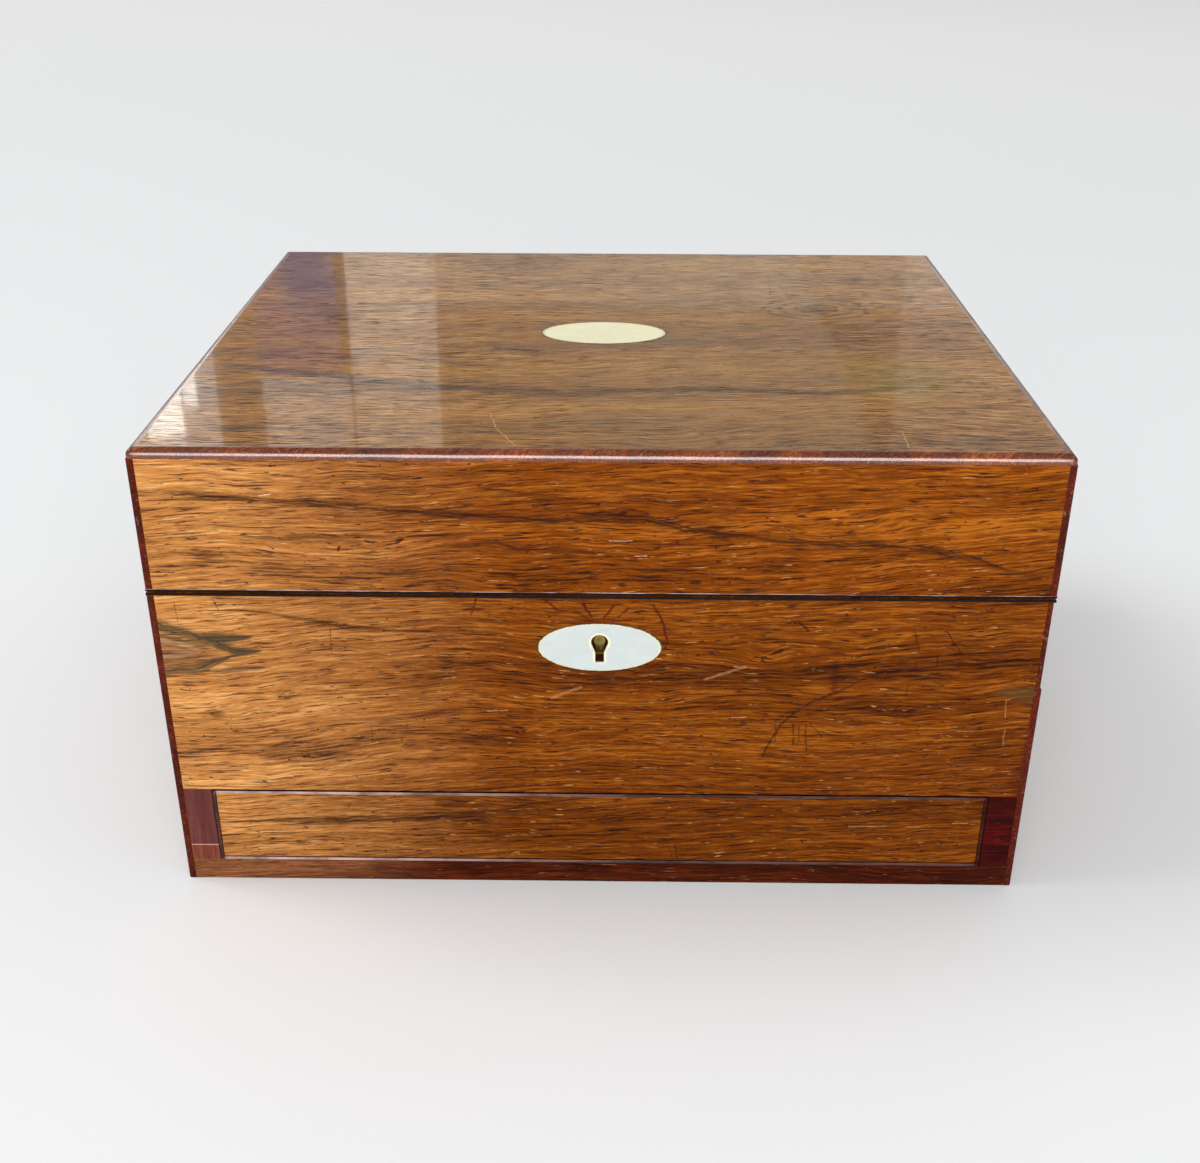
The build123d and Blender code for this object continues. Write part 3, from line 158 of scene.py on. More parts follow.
BASE_FRONT_MARKS = (
    ("blot", "slate", 0.5, (-150, 98), (24, 9.5), 0.25),
    ("vein", "slate", 0.95, 2.0, 0.25, ((-153, 108.2), (-151.4, 107.6), (-141.7, 104.2), (-133.2, 101.5),
        (-125.9, 102.2), (-117, 102.9))),
    ("vein", "slate", 0.95, 1.6, 0.25, ((-137, 103), (-133.2, 101), (-128, 98.4), (-124.6, 96.9),
        (-115, 97.6))),
    ("vein", "slate", 0.95, 1.5, 0.3, ((-153, 88.8), (-149, 89.2), (-140.4, 89.9), (-131.9, 92.6),
        (-124, 96.2))),
    ("vein", "slate", 0.6, 1.0, 0.4, ((-134, 88.2), (-131.9, 88.5), (-124.6, 89.9), (-112, 90.9))),
    ("vein", "slate", 0.8, 0.7, 0.3, ((-153, 103.6), (-149.6, 102.8), (-139.2, 100.1), (-133, 97.3))),
    ("vein", "slate", 0.8, 0.7, 0.3, ((-153, 92.2), (-149, 92.6), (-139.2, 94), (-133, 97))),
    ("vein", "slate", 0.7, 0.6, 0.3, ((-153, 100), (-149, 99.5), (-142.9, 98.1), (-138, 96.7))),
    ("vein", "pink", 0.3, 0.7, 0.3, ((-153, 101.6), (-147, 100.7), (-140, 98.6), (-135.4, 97))),
    ("vein", "pink", 0.3, 0.7, 0.3, ((-153, 94.4), (-147, 95), (-140, 95.9), (-136, 96.8))),
    ("vein", "dark", 0.75, 0.8, 0.5, ((-138, 112.6), (-132.4, 112.7), (-120.4, 112.9), (-104.6, 110.4),
        (-92, 108.6), (-82.2, 106.2), (-65, 105.6), (-50.8, 105.2), (-44, 105))),
    ("vein", "dark", 0.55, 1.2, 0.7, ((-84, 67.2), (-79.3, 68.4), (-70.9, 69.8), (-52.1, 74), (-44, 75))),
    ("vein", "dark", 0.45, 3.0, 0.6, ((-122, 54.2), (-117, 54.4), (-92.8, 54.8), (-86, 55))),
    ("blot", "dark", 0.6, (-134, 71.6), (3.4, 1.8), 0.4),
    ("scratch", "dark", 0.55, 0.4, ((-91.3, 108.5), (-91.8, 96.2))),
    ("scratch", "dark", 0.55, 0.4, ((-80, 68), (-80.2, 61))),
    ("scratch", "dark", 0.5, 0.4, ((-143.4, 116), (-143, 108.6))),
    ("scratch", "dark", 0.6, 0.5, ((-130.2, 116.8), (-128.4, 112.6))),
    ("scratch", "dark", 0.6, 0.6, ((-107.6, 80.5), (-106, 80.9))),
    ("scratch", "dark", 0.6, 0.6, ((-91.2, 78.7), (-89.4, 79.1))),
    ("scratch", "red", 0.85, 0.9, ((-41.2, 118.3), (-43.5, 112.1))),
    ("scratch", "red", 0.85, 0.9, ((-45.6, 113.9), (-38.8, 114.4))),
    ("scratch", "red", 0.85, 0.9, ((-18, 117.4), (-13.9, 113.9))),
    ("scratch", "red", 0.9, 1.0, ((1.2, 110.9), (4.6, 115.7))),
    ("scratch", "red", 0.9, 1.0, ((-5.6, 116.4), (-2.2, 111.2))),
    ("scratch", "red", 0.85, 0.9, ((9.6, 115), (6.2, 111.4))),
    ("scratch", "red", 0.9, 0.9, ((18, 116.2), (21.1, 110.7), (22.7, 103.7), (22.4, 99.7))),
    ("scratch", "red", 0.85, 0.8, ((-8.6, 113.4), (-2.4, 109.8))),
    ("scratch", "red", 0.85, 0.8, ((3.2, 110.2), (10.8, 110.6))),
    ("blot", "red", 0.7, (-1, 110.3), (9, 1.4), 0.5),
    ("blot", "dark", 0.6, (2, 86.6), (8.5, 4.2), 0.5),
    ("scratch", "light", 0.2, 1.0, ((-16.5, 79.6), (-6.4, 84))),
    ("scratch", "light", 0.22, 1.0, ((36.4, 87.6), (50, 92.6))),
    ("scratch", "light", 0.4, 0.4, ((46, 72), (51, 72.2))),
    ("scratch", "light", 0.35, 0.4, ((-39, 74), (-32, 74.4))),
    ("scratch", "dark", 0.8, 0.7, ((64.7, 110.8), (67.1, 110.5), (70.5, 106.9))),
    ("blot", "dark", 0.75, (81, 89), (1.7, 6.6), 0.45),
    ("blot", "dark", 0.4, (85.6, 88), (4.6, 2.4), 0.6),
    ("scratch", "dark", 0.75, 0.9, ((97.7, 91.4), (90.2, 87.9), (81, 82.1), (74.1, 79.1), (68, 74.5),
        (63.4, 69.4), (60.2, 62.6), (57.7, 56.1))),
    ("scratch", "dark", 0.6, 0.6, ((61.5, 71.1), (62, 62.6))),
    ("scratch", "dark", 0.65, 0.6, ((67.8, 69.9), (68.3, 61))),
    ("scratch", "dark", 0.6, 0.5, ((69.9, 69.1), (70.2, 62.7))),
    ("scratch", "dark", 0.65, 0.6, ((72.2, 69.5), (73, 58.5))),
    ("scratch", "dark", 0.55, 0.6, ((73.6, 69.9), (78.2, 64.5))),
    ("scratch", "dark", 0.7, 0.6, ((106.2, 107.3), (108.5, 100.2))),
    ("scratch", "dark", 0.65, 0.6, ((108.1, 95.8), (108.4, 92.5), (115.3, 93.2), (115.1, 98.2))),
    ("scratch", "dark", 0.7, 0.6, ((117.3, 107), (123.8, 97.5))),
    ("scratch", "dark", 0.65, 0.6, ((106.3, 86), (105.9, 81.9))),
    ("scratch", "dark", 0.65, 0.6, ((104.4, 79.4), (102.1, 74.4))),
    ("vein", "dark", 0.4, 1.0, 0.5, ((92, 88), (99.4, 88.4), (118.2, 88.8), (126, 89))),
    ("vein", "olive", 0.6, 2.2, 0.4, ((136, 82.4), (139.2, 82.7), (149.8, 82.8), (153, 83))),
    ("scratch", "dark", 0.6, 0.8, ((123.1, 69.6), (128.1, 69.7))),
    ("scratch", "light", 0.22, 0.5, ((140.6, 80.3), (141.2, 73))),
    ("scratch", "light", 0.2, 0.5, ((141.6, 68), (142, 61.8))),
    ("blot", "red", 0.85, (153, 58), (4.2, 24), 0.3),
    ("blot", "red", 0.8, (152, 45), (7.5, 9), 0.4),
)
# Painted shade inside the keyhole, on the board that shows through its slot.
KEYHOLE_MARKS = (("blot", "grime", 1.0, (0, 100), (9, 12), 0.0),)
DRAWER_FRONT_MARKS = (
    ("vein", "dark", 0.85, 1.4, 0.6, ((-140, 24.4), (-137.6, 24.7), (-123.3, 26.1), (-96.3, 27),
        (-74.2, 27.5), (-56.2, 29.4), (-41.2, 30.7), (-31.2, 32.7), (-25.2, 34.5), (-11.3, 36.5),
        (0.3, 38.3))),
    ("vein", "dark", 0.7, 1.2, 0.6, ((-60, 34.4), (-56, 34.3), (-49, 35.5), (-43, 37))),
    ("blot", "dark", 0.6, (-31.5, 31.5), (4.6, 2.4), 0.5),
    ("arcs", "dark", 0.4, (-31.5, 31.5), (13, 5), 3),
    ("scratch", "light", 0.3, 0.4, ((90.5, 26.1), (104.2, 26.3))),
    ("scratch", "light", 0.3, 0.4, ((111.9, 26), (116.4, 26.1))),
    ("scratch", "light", 0.3, 0.4, ((127.9, 27.8), (133.5, 27.9))),
    ("scratch", "dark", 0.7, 0.5, ((28, 18), (28.4, 11.5))),
)
LID_TOP_MARKS = (
    ("vein", "dark", 0.75, 3.0, 0.5, ((-152, -40), (-135, -44), (-121, -48.9), (-104, -52.1),
        (-86.4, -58.6), (-66.4, -63.2), (-52.4, -66.8), (-35.3, -68.1), (-14.8, -71.8), (6.3, -68.3),
        (35.9, -66.1), (76.6, -68.6), (99.1, -65.5), (122.1, -62.2), (149.3, -64.5))),
    ("vein", "dark", 0.45, 1.6, 0.6, ((-80, -31), (-71.6, -33.1), (-39.5, -43.6), (-30, -45))),
    ("blot", "dark", 0.75, (88, 35.3), (9, 9), 0.3),
    ("arcs", "dark", 0.75, (88, 35.3), (26, 19), 4),
    # A painted reflection: a greenish-yellow patch on the polish.
    ("blot", "moss", 0.5, (108, -52), (26, 30), 0.3),
    ("blot", "dark", 0.8, (132.2, -56.5), (1.6, 1.8), 0.3),
    # A painted reflection: a warm red-brown patch on the polish.
    ("blot", "red", 0.7, (-41, 104), (28, 18), 0.2),
    ("scratch", "light", 0.4, 0.5, ((-38, -90.7), (-34.8, -105.8), (-27.4, -121.5))),
    ("scratch", "light", 0.35, 0.5, ((99.5, -105.6), (99.3, -120.9))),
    ("scratch", "dark", 0.5, 0.6, ((72.3, 71.5), (70.8, 55.7))),
    ("scratch", "dark", 0.5, 0.6, ((76, 73.3), (78.2, 54.3))),
)

# Places where the fibres bend round a knot or a curl: the centre, the half sizes and the lift.
LID_FRONT_SWELLS = (((-88, 138.5), (30, 6.5), 5.0), ((8, 150), (20, 5), 3.0), ((96, 147), (24, 6), 4.0))
BASE_FRONT_SWELLS = (((-20, 66), (26, 6), 4.0), ((58, 98), (24, 7), 5.0))
LID_TOP_SWELLS = (((88, 35), (17, 11), 9.0), ((-40, -30), (40, 16), 8.0), ((10, 70), (50, 14), 6.0))

# Where the base's front is cut into stretches, each with its own finish.
BASE_FRONT_CUTS = (-60, 30, 92)

# Soft cards that only the polish reflects: name, left, right, low and high in millimetres, how far
# behind the box, brightness and colour.
BACK_CARDS = (
    ("card_left", -1400, -735, 560, 1300, 2.0, 1.75, (1.0, 0.98, 0.92)),
    ("card_amber", -735, -650, 560, 1000, 2.0, 0.35, (1.0, 0.7, 0.4)),
    ("card_violet", -650, -500, 560, 870, 2.0, 0.42, (0.35, 0.35, 1.0)),
    ("card_low", -650, -485, 880, 1300, 2.0, 1.45, (1.0, 0.98, 0.92)),
    ("card_band", -480, -320, 560, 1300, 2.0, 1.35, (1.0, 0.97, 0.86)),
    ("card_middle", -320, 520, 560, 1300, 2.0, 0.3, (1.0, 0.95, 0.78)),
    ("card_back", -320, 900, 540, 740, 1.99, 0.5, (1.0, 0.95, 0.78)),
    ("card_right", 520, 1300, 560, 1300, 2.0, 0.68, (1.0, 0.96, 0.86)),
    ("card_window", -865, -795, 850, 990, 1.97, 7.0, (1.0, 0.97, 0.9)),
    ("card_frame", -790, -765, 790, 930, 1.97, 5.5, (1.0, 0.97, 0.9)),
)


class Steps:
    """Adds nodes to one node tree and wires them, so that a finish reads as a list of steps."""

    def __init__(self, tree):
        self.tree = tree

    def feed(self, socket, value):
        """Wires a socket to another, or sets its value."""
        if isinstance(value, bpy.types.NodeSocket):
            self.tree.links.new(value, socket)
        else:
            socket.default_value = value

    def add(self, kind, inputs=(), **settings):
        """One node, its settings and what goes into its sockets."""
        node = self.tree.nodes.new(kind)
        place = len(self.tree.nodes)
        node.location = (190 * (place % 16), -280 * (place // 16))
        for name, value in settings.items():
            setattr(node, name, value)
        for socket, value in dict(inputs).items():
            self.feed(node.inputs[socket], value)
        return node

    def math(self, operation, first, second=0.0, third=0.0):
        """One sum of up to three values."""
        inputs = {0: first, 1: second, 2: third}
        return self.add("ShaderNodeMath", inputs, operation=operation).outputs[0]

    times = partialmethod(math, "MULTIPLY")
    times_plus = partialmethod(math, "MULTIPLY_ADD")
    plus = partialmethod(math, "ADD")
    minus = partialmethod(math, "SUBTRACT")
    over = partialmethod(math, "DIVIDE")
    size = partialmethod(math, "ABSOLUTE")
    most = partialmethod(math, "MAXIMUM")
    least = partialmethod(math, "MINIMUM")

    def vector(self, operation, first, second=(0, 0, 0)):
        """One sum of two vectors. Lengths and dot products come out as numbers."""
        node = self.add("ShaderNodeVectorMath", {0: first, 1: second}, operation=operation)
        return node.outputs["Value" if operation in ("LENGTH", "DOT_PRODUCT") else "Vector"]

    def flat(self, place):
        """The place without its depth, so that a mark runs straight into the wood."""
        return self.vector("MULTIPLY", place, (1, 1, 0))

    def spot(self):
        """Object coordinates."""
        return self.add("ShaderNodeTexCoord").outputs["Object"]

    def join(self, x, y, z):
        """Three numbers as a vector."""
        return self.add("ShaderNodeCombineXYZ", {0: x, 1: y, 2: z}).outputs[0]

    def split(self, vector):
        """A vector as three numbers."""
        return list(self.add("ShaderNodeSeparateXYZ", {0: vector}).outputs)

    def noise(self, place, scale, detail, roughness=0.5, distortion=0.0):
        """Smooth noise from about 0.2 to 0.8. Its scale is in features per metre, on each axis or all."""
        if isinstance(scale, int):
            scale = (scale, scale, scale)
        inputs = {"Vector": self.vector("MULTIPLY", place, scale), "Scale": 1.0, "Detail": detail,
                  "Roughness": roughness, "Distortion": distortion}
        return self.add("ShaderNodeTexNoise", inputs).outputs[0]

    def between(self, value, low, high, start=0.0, end=1.0, smooth=True):
        """Eases a value from start to end as it goes from low to high."""
        inputs = {"Value": value, "From Min": low, "From Max": high, "To Min": start, "To Max": end}
        kind = "SMOOTHSTEP" if smooth else "LINEAR"
        return self.add("ShaderNodeMapRange", inputs, interpolation_type=kind).outputs[0]

    def mix(self, share, first, second):
        """The first colour where the share is 0, and the second where it is 1."""
        node = self.add("ShaderNodeMix", data_type="RGBA")
        for socket, value in ((0, share), (6, first), (7, second)):
            self.feed(node.inputs[socket], value)
        return node.outputs[2]

    def mixes(self, share, firsts, seconds):
        """Mixes two lists of tones one by one."""
        return [self.mix(share, first, second) for first, second in zip(firsts, seconds)]

    def strongest(self, masks):
        """The highest of some masks at each point."""
        most = masks[0]
        for mask in masks[1:]:
            most = self.most(most, mask)
        return most

    def group(self, tree, **inputs):
        """The outputs of a node group. Its inputs are named in small letters."""
        node = self.add("ShaderNodeGroup", node_tree=tree)
        for name, value in inputs.items():
            self.feed(node.inputs[name.replace("_", " ").title()], value)
        return node.outputs


def shader_group(name, inputs, outputs, build):
    """A shader node group, built the first time it is asked for."""
    if name in bpy.data.node_groups:
        return bpy.data.node_groups[name]
    kinds = {1: "NodeSocketFloat", 3: "NodeSocketVector", 4: "NodeSocketColor"}
    tree = bpy.data.node_groups.new(name, "ShaderNodeTree")
    for label, value in inputs.items():
        size = 1 if isinstance(value, (int, float)) else len(value)
        socket = tree.interface.new_socket(name=label, in_out="INPUT", socket_type=kinds[size])
        socket.default_value = value
    for label, size in outputs.items():
        tree.interface.new_socket(name=label, in_out="OUTPUT", socket_type=kinds[size])
    steps = Steps(tree)
    made = build(steps, steps.add("NodeGroupInput").outputs)
    end = steps.add("NodeGroupOutput")
    for label, value in made.items():
        steps.feed(end.inputs[label], value)
    return tree


def build_figure(steps, given):
    """Warped tone bands, bundles of fibres, dark streaks, short open pores and small pale glints."""
    seed = given["Seed"]
    shift = steps.join(steps.times(seed, 0.73), steps.times(seed, 0.41), seed)
    place = steps.vector("ADD", given["Place"], shift)
    along, across, depth = steps.split(place)
    wander = steps.minus(steps.noise(place, (7, 15, 15), 2), 0.5)
    across = steps.times_plus(wander, given["Wave"], across)
    ripple = steps.minus(steps.noise(place, (60, 110, 110), 2), 0.5)
    across = steps.times_plus(ripple, steps.times(given["Wave"], 0.1), across)
    bent = steps.join(along, across, depth)
    per_band = steps.over(1.0, given["Band Width"])
    bands = steps.noise(bent, steps.join(3.2, per_band, per_band), 3, 0.6)
    bundles = steps.noise(bent, (20, 430, 430), 3, 0.7)
    fibres = steps.noise(bent, (66, 1350, 1350), 3, 0.75)
    level = steps.times_plus(steps.minus(fibres, 0.5), given["Fibres"], bands)
    level = steps.times_plus(steps.minus(bundles, 0.5), 0.42, level)
    tones = steps.mix(steps.between(level, 0.05, 0.46), given["Dark"], given["Middle"])
    tones = steps.mix(steps.between(level, 0.45, 0.9), tones, given["Light"])
    pores = steps.between(steps.noise(bent, (120, 1550, 1550), 3, 0.6), 0.57, 0.63)
    crowd = steps.between(steps.noise(place, (36, 150, 150), 2), 0.32, 0.56, 0.35, 1.0)
    pores = steps.times(pores, crowd)
    dashes = steps.between(steps.noise(bent, (36, 1150, 1150), 3, 0.55), 0.6, 0.67)
    dark = steps.times(steps.most(pores, dashes), given["Flecks"])
    colour = steps.mix(dark, tones, given["Dark"])
    specks = steps.between(steps.noise(place, (330, 760, 760), 2, 0.5), 0.68, 0.73)
    colour = steps.mix(steps.times(specks, 0.8), colour, tone(58, 12, 4))
    glints = steps.between(steps.noise(bent, (150, 1500, 1500), 2, 0.5), 0.69, 0.74)
    glints = steps.times(glints, steps.times(given["Flecks"], given["Flecks"]))
    colour = steps.mix(steps.times(glints, 0.6), colour, tone(226, 170, 110))
    height = steps.times_plus(pores, -0.8, steps.times(fibres, 0.5))
    return {"Color": colour, "Height": height, "Pores": pores}


def wood_figure(steps, place, seed, band, wave, flecks, tones, fibres=1.9):
    """The wood's colour, height and pores. Tones are its light, middle and dark."""
    inputs = {"Place": (0, 0, 0), "Seed": 0.0, "Band Width": 0.014, "Wave": 0.02, "Flecks": 0.7,
              "Fibres": 1.9, "Light": (0.5, 0.25, 0.1, 1), "Middle": (0.3, 0.12, 0.04, 1),
              "Dark": (0.05, 0.02, 0.01, 1)}
    tree = shader_group("Wood Figure", inputs, {"Color": 4, "Height": 1, "Pores": 1}, build_figure)
    return steps.group(tree, place=place, seed=seed, band_width=band, wave=wave, flecks=flecks, fibres=fibres,
                       light=tones[0], middle=tones[1], dark=tones[2])


def build_vein(steps, given):
    """A bundle of dark fibres along a line, which thins, thickens and frays into the wood."""
    along, across, depth = steps.split(given["Place"])
    wobble = steps.minus(steps.noise(given["Place"], (90, 220, 220), 3, 0.6), 0.5)
    wobble = steps.times(wobble, steps.times(given["Width"], 2.2))
    away = steps.minus(steps.plus(across, wobble), given["Middle Line"])
    share = steps.over(steps.size(away), given["Width"])
    thick = steps.between(steps.noise(given["Place"], (33, 50, 50), 2), 0.3, 0.6, 0.6, 1.3)
    near = steps.between(steps.over(share, thick), 0.2, 1.7, 1.0, 0.0)
    fibres = steps.noise(steps.join(along, away, depth), (38, 1250, 1250), 2, 0.6)
    lines = steps.between(fibres, 0.4, 0.56, steps.minus(1.0, given["Fray"]), 1.0)
    return {"Mask": steps.times(near, lines)}


def build_scratch(steps, given):
    """A straight mark between two points, a little uneven in its line and depth."""
    place = given["Place"]
    wobble = steps.noise(place, 260, 2)
    wobble = steps.times(steps.minus(wobble, 0.5), steps.times(given["Width"], 2.0))
    place = steps.vector("ADD", place, steps.join(wobble, wobble, 0.0))
    reach = steps.vector("SUBTRACT", place, given["Start"])
    run = steps.vector("SUBTRACT", given["End"], given["Start"])
    share = steps.over(steps.vector("DOT_PRODUCT", reach, run), steps.vector("DOT_PRODUCT", run, run))
    share = steps.between(share, 0.0, 1.0, smooth=False)
    near = steps.vector("MULTIPLY", run, steps.join(share, share, share))
    away = steps.vector("LENGTH", steps.vector("SUBTRACT", reach, near))
    mask = steps.between(steps.over(away, given["Width"]), 0.25, 0.75, 1.0, 0.0)
    uneven = steps.between(steps.noise(place, 700, 2), 0.3, 0.6, 0.45, 1.0)
    return {"Mask": steps.times(mask, uneven)}


def oval_reach(steps, given):
    """Where the place lies in an oval, whose edge is 1 away from its centre."""
    away = steps.vector("SUBTRACT", given["Place"], given["Centre"])
    return steps.flat(steps.vector("DIVIDE", away, given["Half Size"]))


def build_blot(steps, given):
    """An oval stain with a ragged edge that runs out along the fibres."""
    away = steps.vector("LENGTH", oval_reach(steps, given))
    rag = steps.minus(steps.noise(given["Place"], (60, 620, 620), 3, 0.7), 0.5)
    away = steps.times_plus(rag, steps.times(given["Fray"], 4.0), away)
    fibres = steps.between(steps.noise(given["Place"], (45, 1300, 1300), 2, 0.6), 0.38, 0.58, 0.35, 1.0)
    return {"Mask": steps.times(steps.between(away, 0.45, 1.2, 1.0, 0.0), fibres)}


def build_arcs(steps, given):
    """Nested oval lines, as where the grain rises through the surface."""
    away = steps.vector("LENGTH", oval_reach(steps, given))
    rag = steps.minus(steps.noise(given["Place"], (60, 240, 240), 3, 0.6), 0.5)
    away = steps.times_plus(rag, 0.35, away)
    wave = steps.math("SINE", steps.times(away, steps.times(given["Count"], 2 * math.pi)))
    lines = steps.between(wave, 0.1, 0.95)
    lines = steps.times(lines, steps.between(away, 0.8, 1.1, 1.0, 0.0))
    patchy = steps.between(steps.noise(given["Place"], (50, 300, 300), 2), 0.35, 0.6)
    return {"Mask": steps.times(lines, patchy)}


def build_swell(steps, given):
    """Bends the fibres round a centre, as where a knot or a curl pushes them apart."""
    reach = oval_reach(steps, given)
    away = steps.vector("DOT_PRODUCT", reach, reach)
    fall = steps.math("POWER", 2.718, steps.times(away, -1.0))
    push = steps.times(steps.split(reach)[1], steps.times(fall, given["Lift"]))
    return {"Place": steps.vector("SUBTRACT", given["Place"], steps.join(0.0, push, 0.0))}


def oval(centre, half):
    """A group's centre and half size from millimetres."""
    return {"centre": (centre[0] * MM, centre[1] * MM, 0), "half_size": (half[0] * MM, half[1] * MM, 1)}


def swell(steps, place, centre, half, lift):
    """The place with its fibres bent round a centre. Sizes are in millimetres."""
    inputs = {"Place": (0, 0, 0), "Centre": (0, 0, 0), "Half Size": (1, 1, 1), "Lift": 0.001}
    tree = shader_group("Grain Swell", inputs, {"Place": 3}, build_swell)
    return steps.group(tree, place=place, **oval(centre, half), lift=lift * MM)["Place"]


def mark_group(kind):
    """The shader group that draws one kind of mark."""
    area = {"Centre": (0, 0, 0), "Half Size": (1, 1, 1)}
    name, inputs, build = {
        "vein": ("Vein", {"Middle Line": 0.0, "Width": 0.001, "Fray": 0.5}, build_vein),
        "scratch": ("Scratch", {"Start": (0, 0, 0), "End": (0, 0, 1), "Width": 0.001}, build_scratch),
        "blot": ("Blot", {**area, "Fray": 0.5}, build_blot),
        "arcs": ("Grain Arcs", {**area, "Count": 4.0}, build_arcs),
    }[kind]
    return shader_group(name, {"Place": (0, 0, 0), **inputs}, {"Mask": 1}, build)


def vein_line(steps, along, points):
    """The across coordinate of a drawn vein, a mask that is 1 between its ends, and how far it tapers."""
    start, end = points[0][0] * MM, points[-1][0] * MM
    low = min(point[1] for point in points) * MM
    high = max(point[1] for point in points) * MM + 1e-5
    share = steps.between(along, start, end, smooth=False)
    curve = steps.add("ShaderNodeFloatCurve", {"Value": share})
    line = curve.mapping.curves[0]
    spots = [((x * MM - start) / (end - start), (y * MM - low) / (high - low)) for x, y in points]
    while len(line.points) < len(spots):
        line.points.new(0.5, 0.5)
    for point, spot in zip(line.points, spots):
        point.location = spot
    curve.mapping.update()
    inside = steps.between(share, 0.0, 0.06)
    inside = steps.times(inside, steps.between(share, 0.92, 1.0, 1.0, 0.0))
    taper = 1.0
    if abs(points[0][0]) < TAPER_REACH:
        taper = steps.between(share, 0.0, 0.3, 0.25, 1.0)
    if abs(points[-1][0]) < TAPER_REACH:
        taper = steps.times(taper, steps.between(share, 0.6, 1.0, 1.0, 0.2))
    return steps.between(curve.outputs[0], 0.0, 1.0, low, high, smooth=False), inside, taper


def drawn_marks(steps, place, colour, marks):
    """Paints a table of marks over a colour."""
    masks = {}
    along = steps.split(place)[0]
    for kind, name, strength, *sizes in marks:
        tree = mark_group(kind)
        if kind == "vein":
            width, fray, points = sizes
            middle, inside, taper = vein_line(steps, along, points)
            width = steps.times(taper, width * MM)
            made = steps.group(tree, place=place, middle_line=middle, width=width, fray=fray)
            found = [steps.times(made["Mask"], inside)]
        elif kind == "scratch":
            width, points = sizes
            ends = [(x * MM, y * MM, 0) for x, y in points]
            found = [steps.group(tree, place=place, start=start, end=end, width=width * MM)["Mask"]
                     for start, end in zip(ends, ends[1:])]
        else:
            centre, half, last = sizes
            inputs = {**oval(centre, half), "fray" if kind == "blot" else "count": last}
            found = [steps.group(tree, place=place, **inputs)["Mask"]]
        found = steps.times(steps.strongest(found), strength)
        masks[name] = steps.most(masks[name], found) if name in masks else found
    for name in sorted(masks):
        colour = steps.mix(masks[name], colour, MARK_COLOURS[name])
    return colour


def marks_between(marks, low, high):
    """The marks of a table that reach into a stretch of the board, in millimetres along it."""
    ragged, margin = 1.4, 2
    found = []
    for mark in marks:
        if mark[0] in ("vein", "scratch"):
            along = [point[0] for point in mark[-1]]
        else:
            along = [mark[3][0] - ragged * mark[4][0], mark[3][0] + ragged * mark[4][0]]
        if max(along) > low - margin and min(along) < high + margin:
            found.append(mark)
    return found


def new_material(name):
    """An empty node material: its steps and its Principled shader."""
    material = bpy.data.materials.new(name)
    material.use_nodes = True
    return material, Steps(material.node_tree), material.node_tree.nodes["Principled BSDF"]


def board_place(steps, axes):
    """Object coordinates in the order along the grain, across it, and through the board."""
    spot = steps.split(steps.spot())
    return steps.join(*(spot["xyz".index(axis)] for axis in axes))


def round_place(steps, x, y, z):
    """A place for strips that run round the box: along them, up them, and through them."""
    return steps.join(steps.plus(x, y), z, steps.minus(x, y))


def turned(steps, place, degrees):
    """The place turned in the board's plane, so that the grain runs a little off square."""
    inputs = {"Vector": place, "Rotation": (0, 0, math.radians(degrees))}
    return steps.add("ShaderNodeMapping", inputs, vector_type="POINT").outputs[0]


def finish_shader(steps, shader, colour, roughness, height, depth=0.00004, shine=0.5, coat=0.0,
                  coat_roughness=0.2):
    """Feeds the colour, roughness and bump of a finish into its shader."""
    steps.feed(shader.inputs["Base Color"], colour)
    steps.feed(shader.inputs["Roughness"], roughness)
    bump = steps.add("ShaderNodeBump", {"Height": height, "Distance": depth, "Strength": 1.0})
    steps.feed(shader.inputs["Normal"], bump.outputs[0])
    shader.inputs["Coat Weight"].default_value = coat
    shader.inputs["Coat Roughness"].default_value = coat_roughness
    shader.inputs["Specular IOR Level"].default_value = shine


def rosewood(name, axes, seed, tones, tilt=-2.5, band=0.013, wave=0.022, flecks=0.9, marks=(), gloss=0.3,
             shade=None, fibres=1.9, swells=(), coat=0.0):
    """Old polish over rosewood. Tones are its light, middle and dark."""
    material, steps, shader = new_material(name)
    place = board_place(steps, axes)
    grain = place
    for centre, half, lift in swells:
        grain = swell(steps, grain, centre, half, lift)
    tones = shade(steps, place, tones) if shade else tones
    figure = wood_figure(steps, turned(steps, grain, tilt), seed, band, wave, flecks, tones, fibres)
    colour = figure["Color"]
    if marks:
        colour = drawn_marks(steps, steps.flat(place), colour, marks)
    dull = steps.noise(place, 70, 3)
    roughness = steps.between(dull, 0.25, 0.75, gloss - 0.05, gloss + 0.09)
    roughness = steps.times_plus(figure["Pores"], 0.25, roughness)
    finish_shader(steps, shader, colour, roughness, figure["Height"], shine=0.05, coat=coat,
                  coat_roughness=0.05)
    if coat:
        streaks = steps.between(figure["Height"], 0.14, 0.33, coat * 0.35, coat * 1.5)
        steps.feed(shader.inputs["Coat Weight"], streaks)
    return material


def front_fade_and_haze(steps, place, tones):
    """The front's wood is paler towards its left end: partly faded wood, and partly a painted haze of the
    light from the left. The dark fibres stay dark.
    """
    share = steps.between(steps.split(place)[0], -0.160, -0.020, 1.0, 0.0)
    uneven = steps.noise(place, (14, 40, 40), 2)
    share = steps.times(share, steps.between(uneven, 0.2, 0.8, 0.6, 1.0))
    pale = (tone(236, 180, 112), tone(198, 132, 68), tone(84, 52, 36))
    return steps.mixes(share, tones, pale)


def rail_haze(steps, place, tones):
    """The bottom rail's wood is paler towards its left end: a painted haze of the light from the left."""
    share = steps.between(steps.split(place)[0], -0.130, -0.050, 0.8, 0.0)
    pale = (tone(170, 112, 72), tone(128, 78, 46), tone(66, 36, 20))
    return steps.mixes(share, tones, pale)


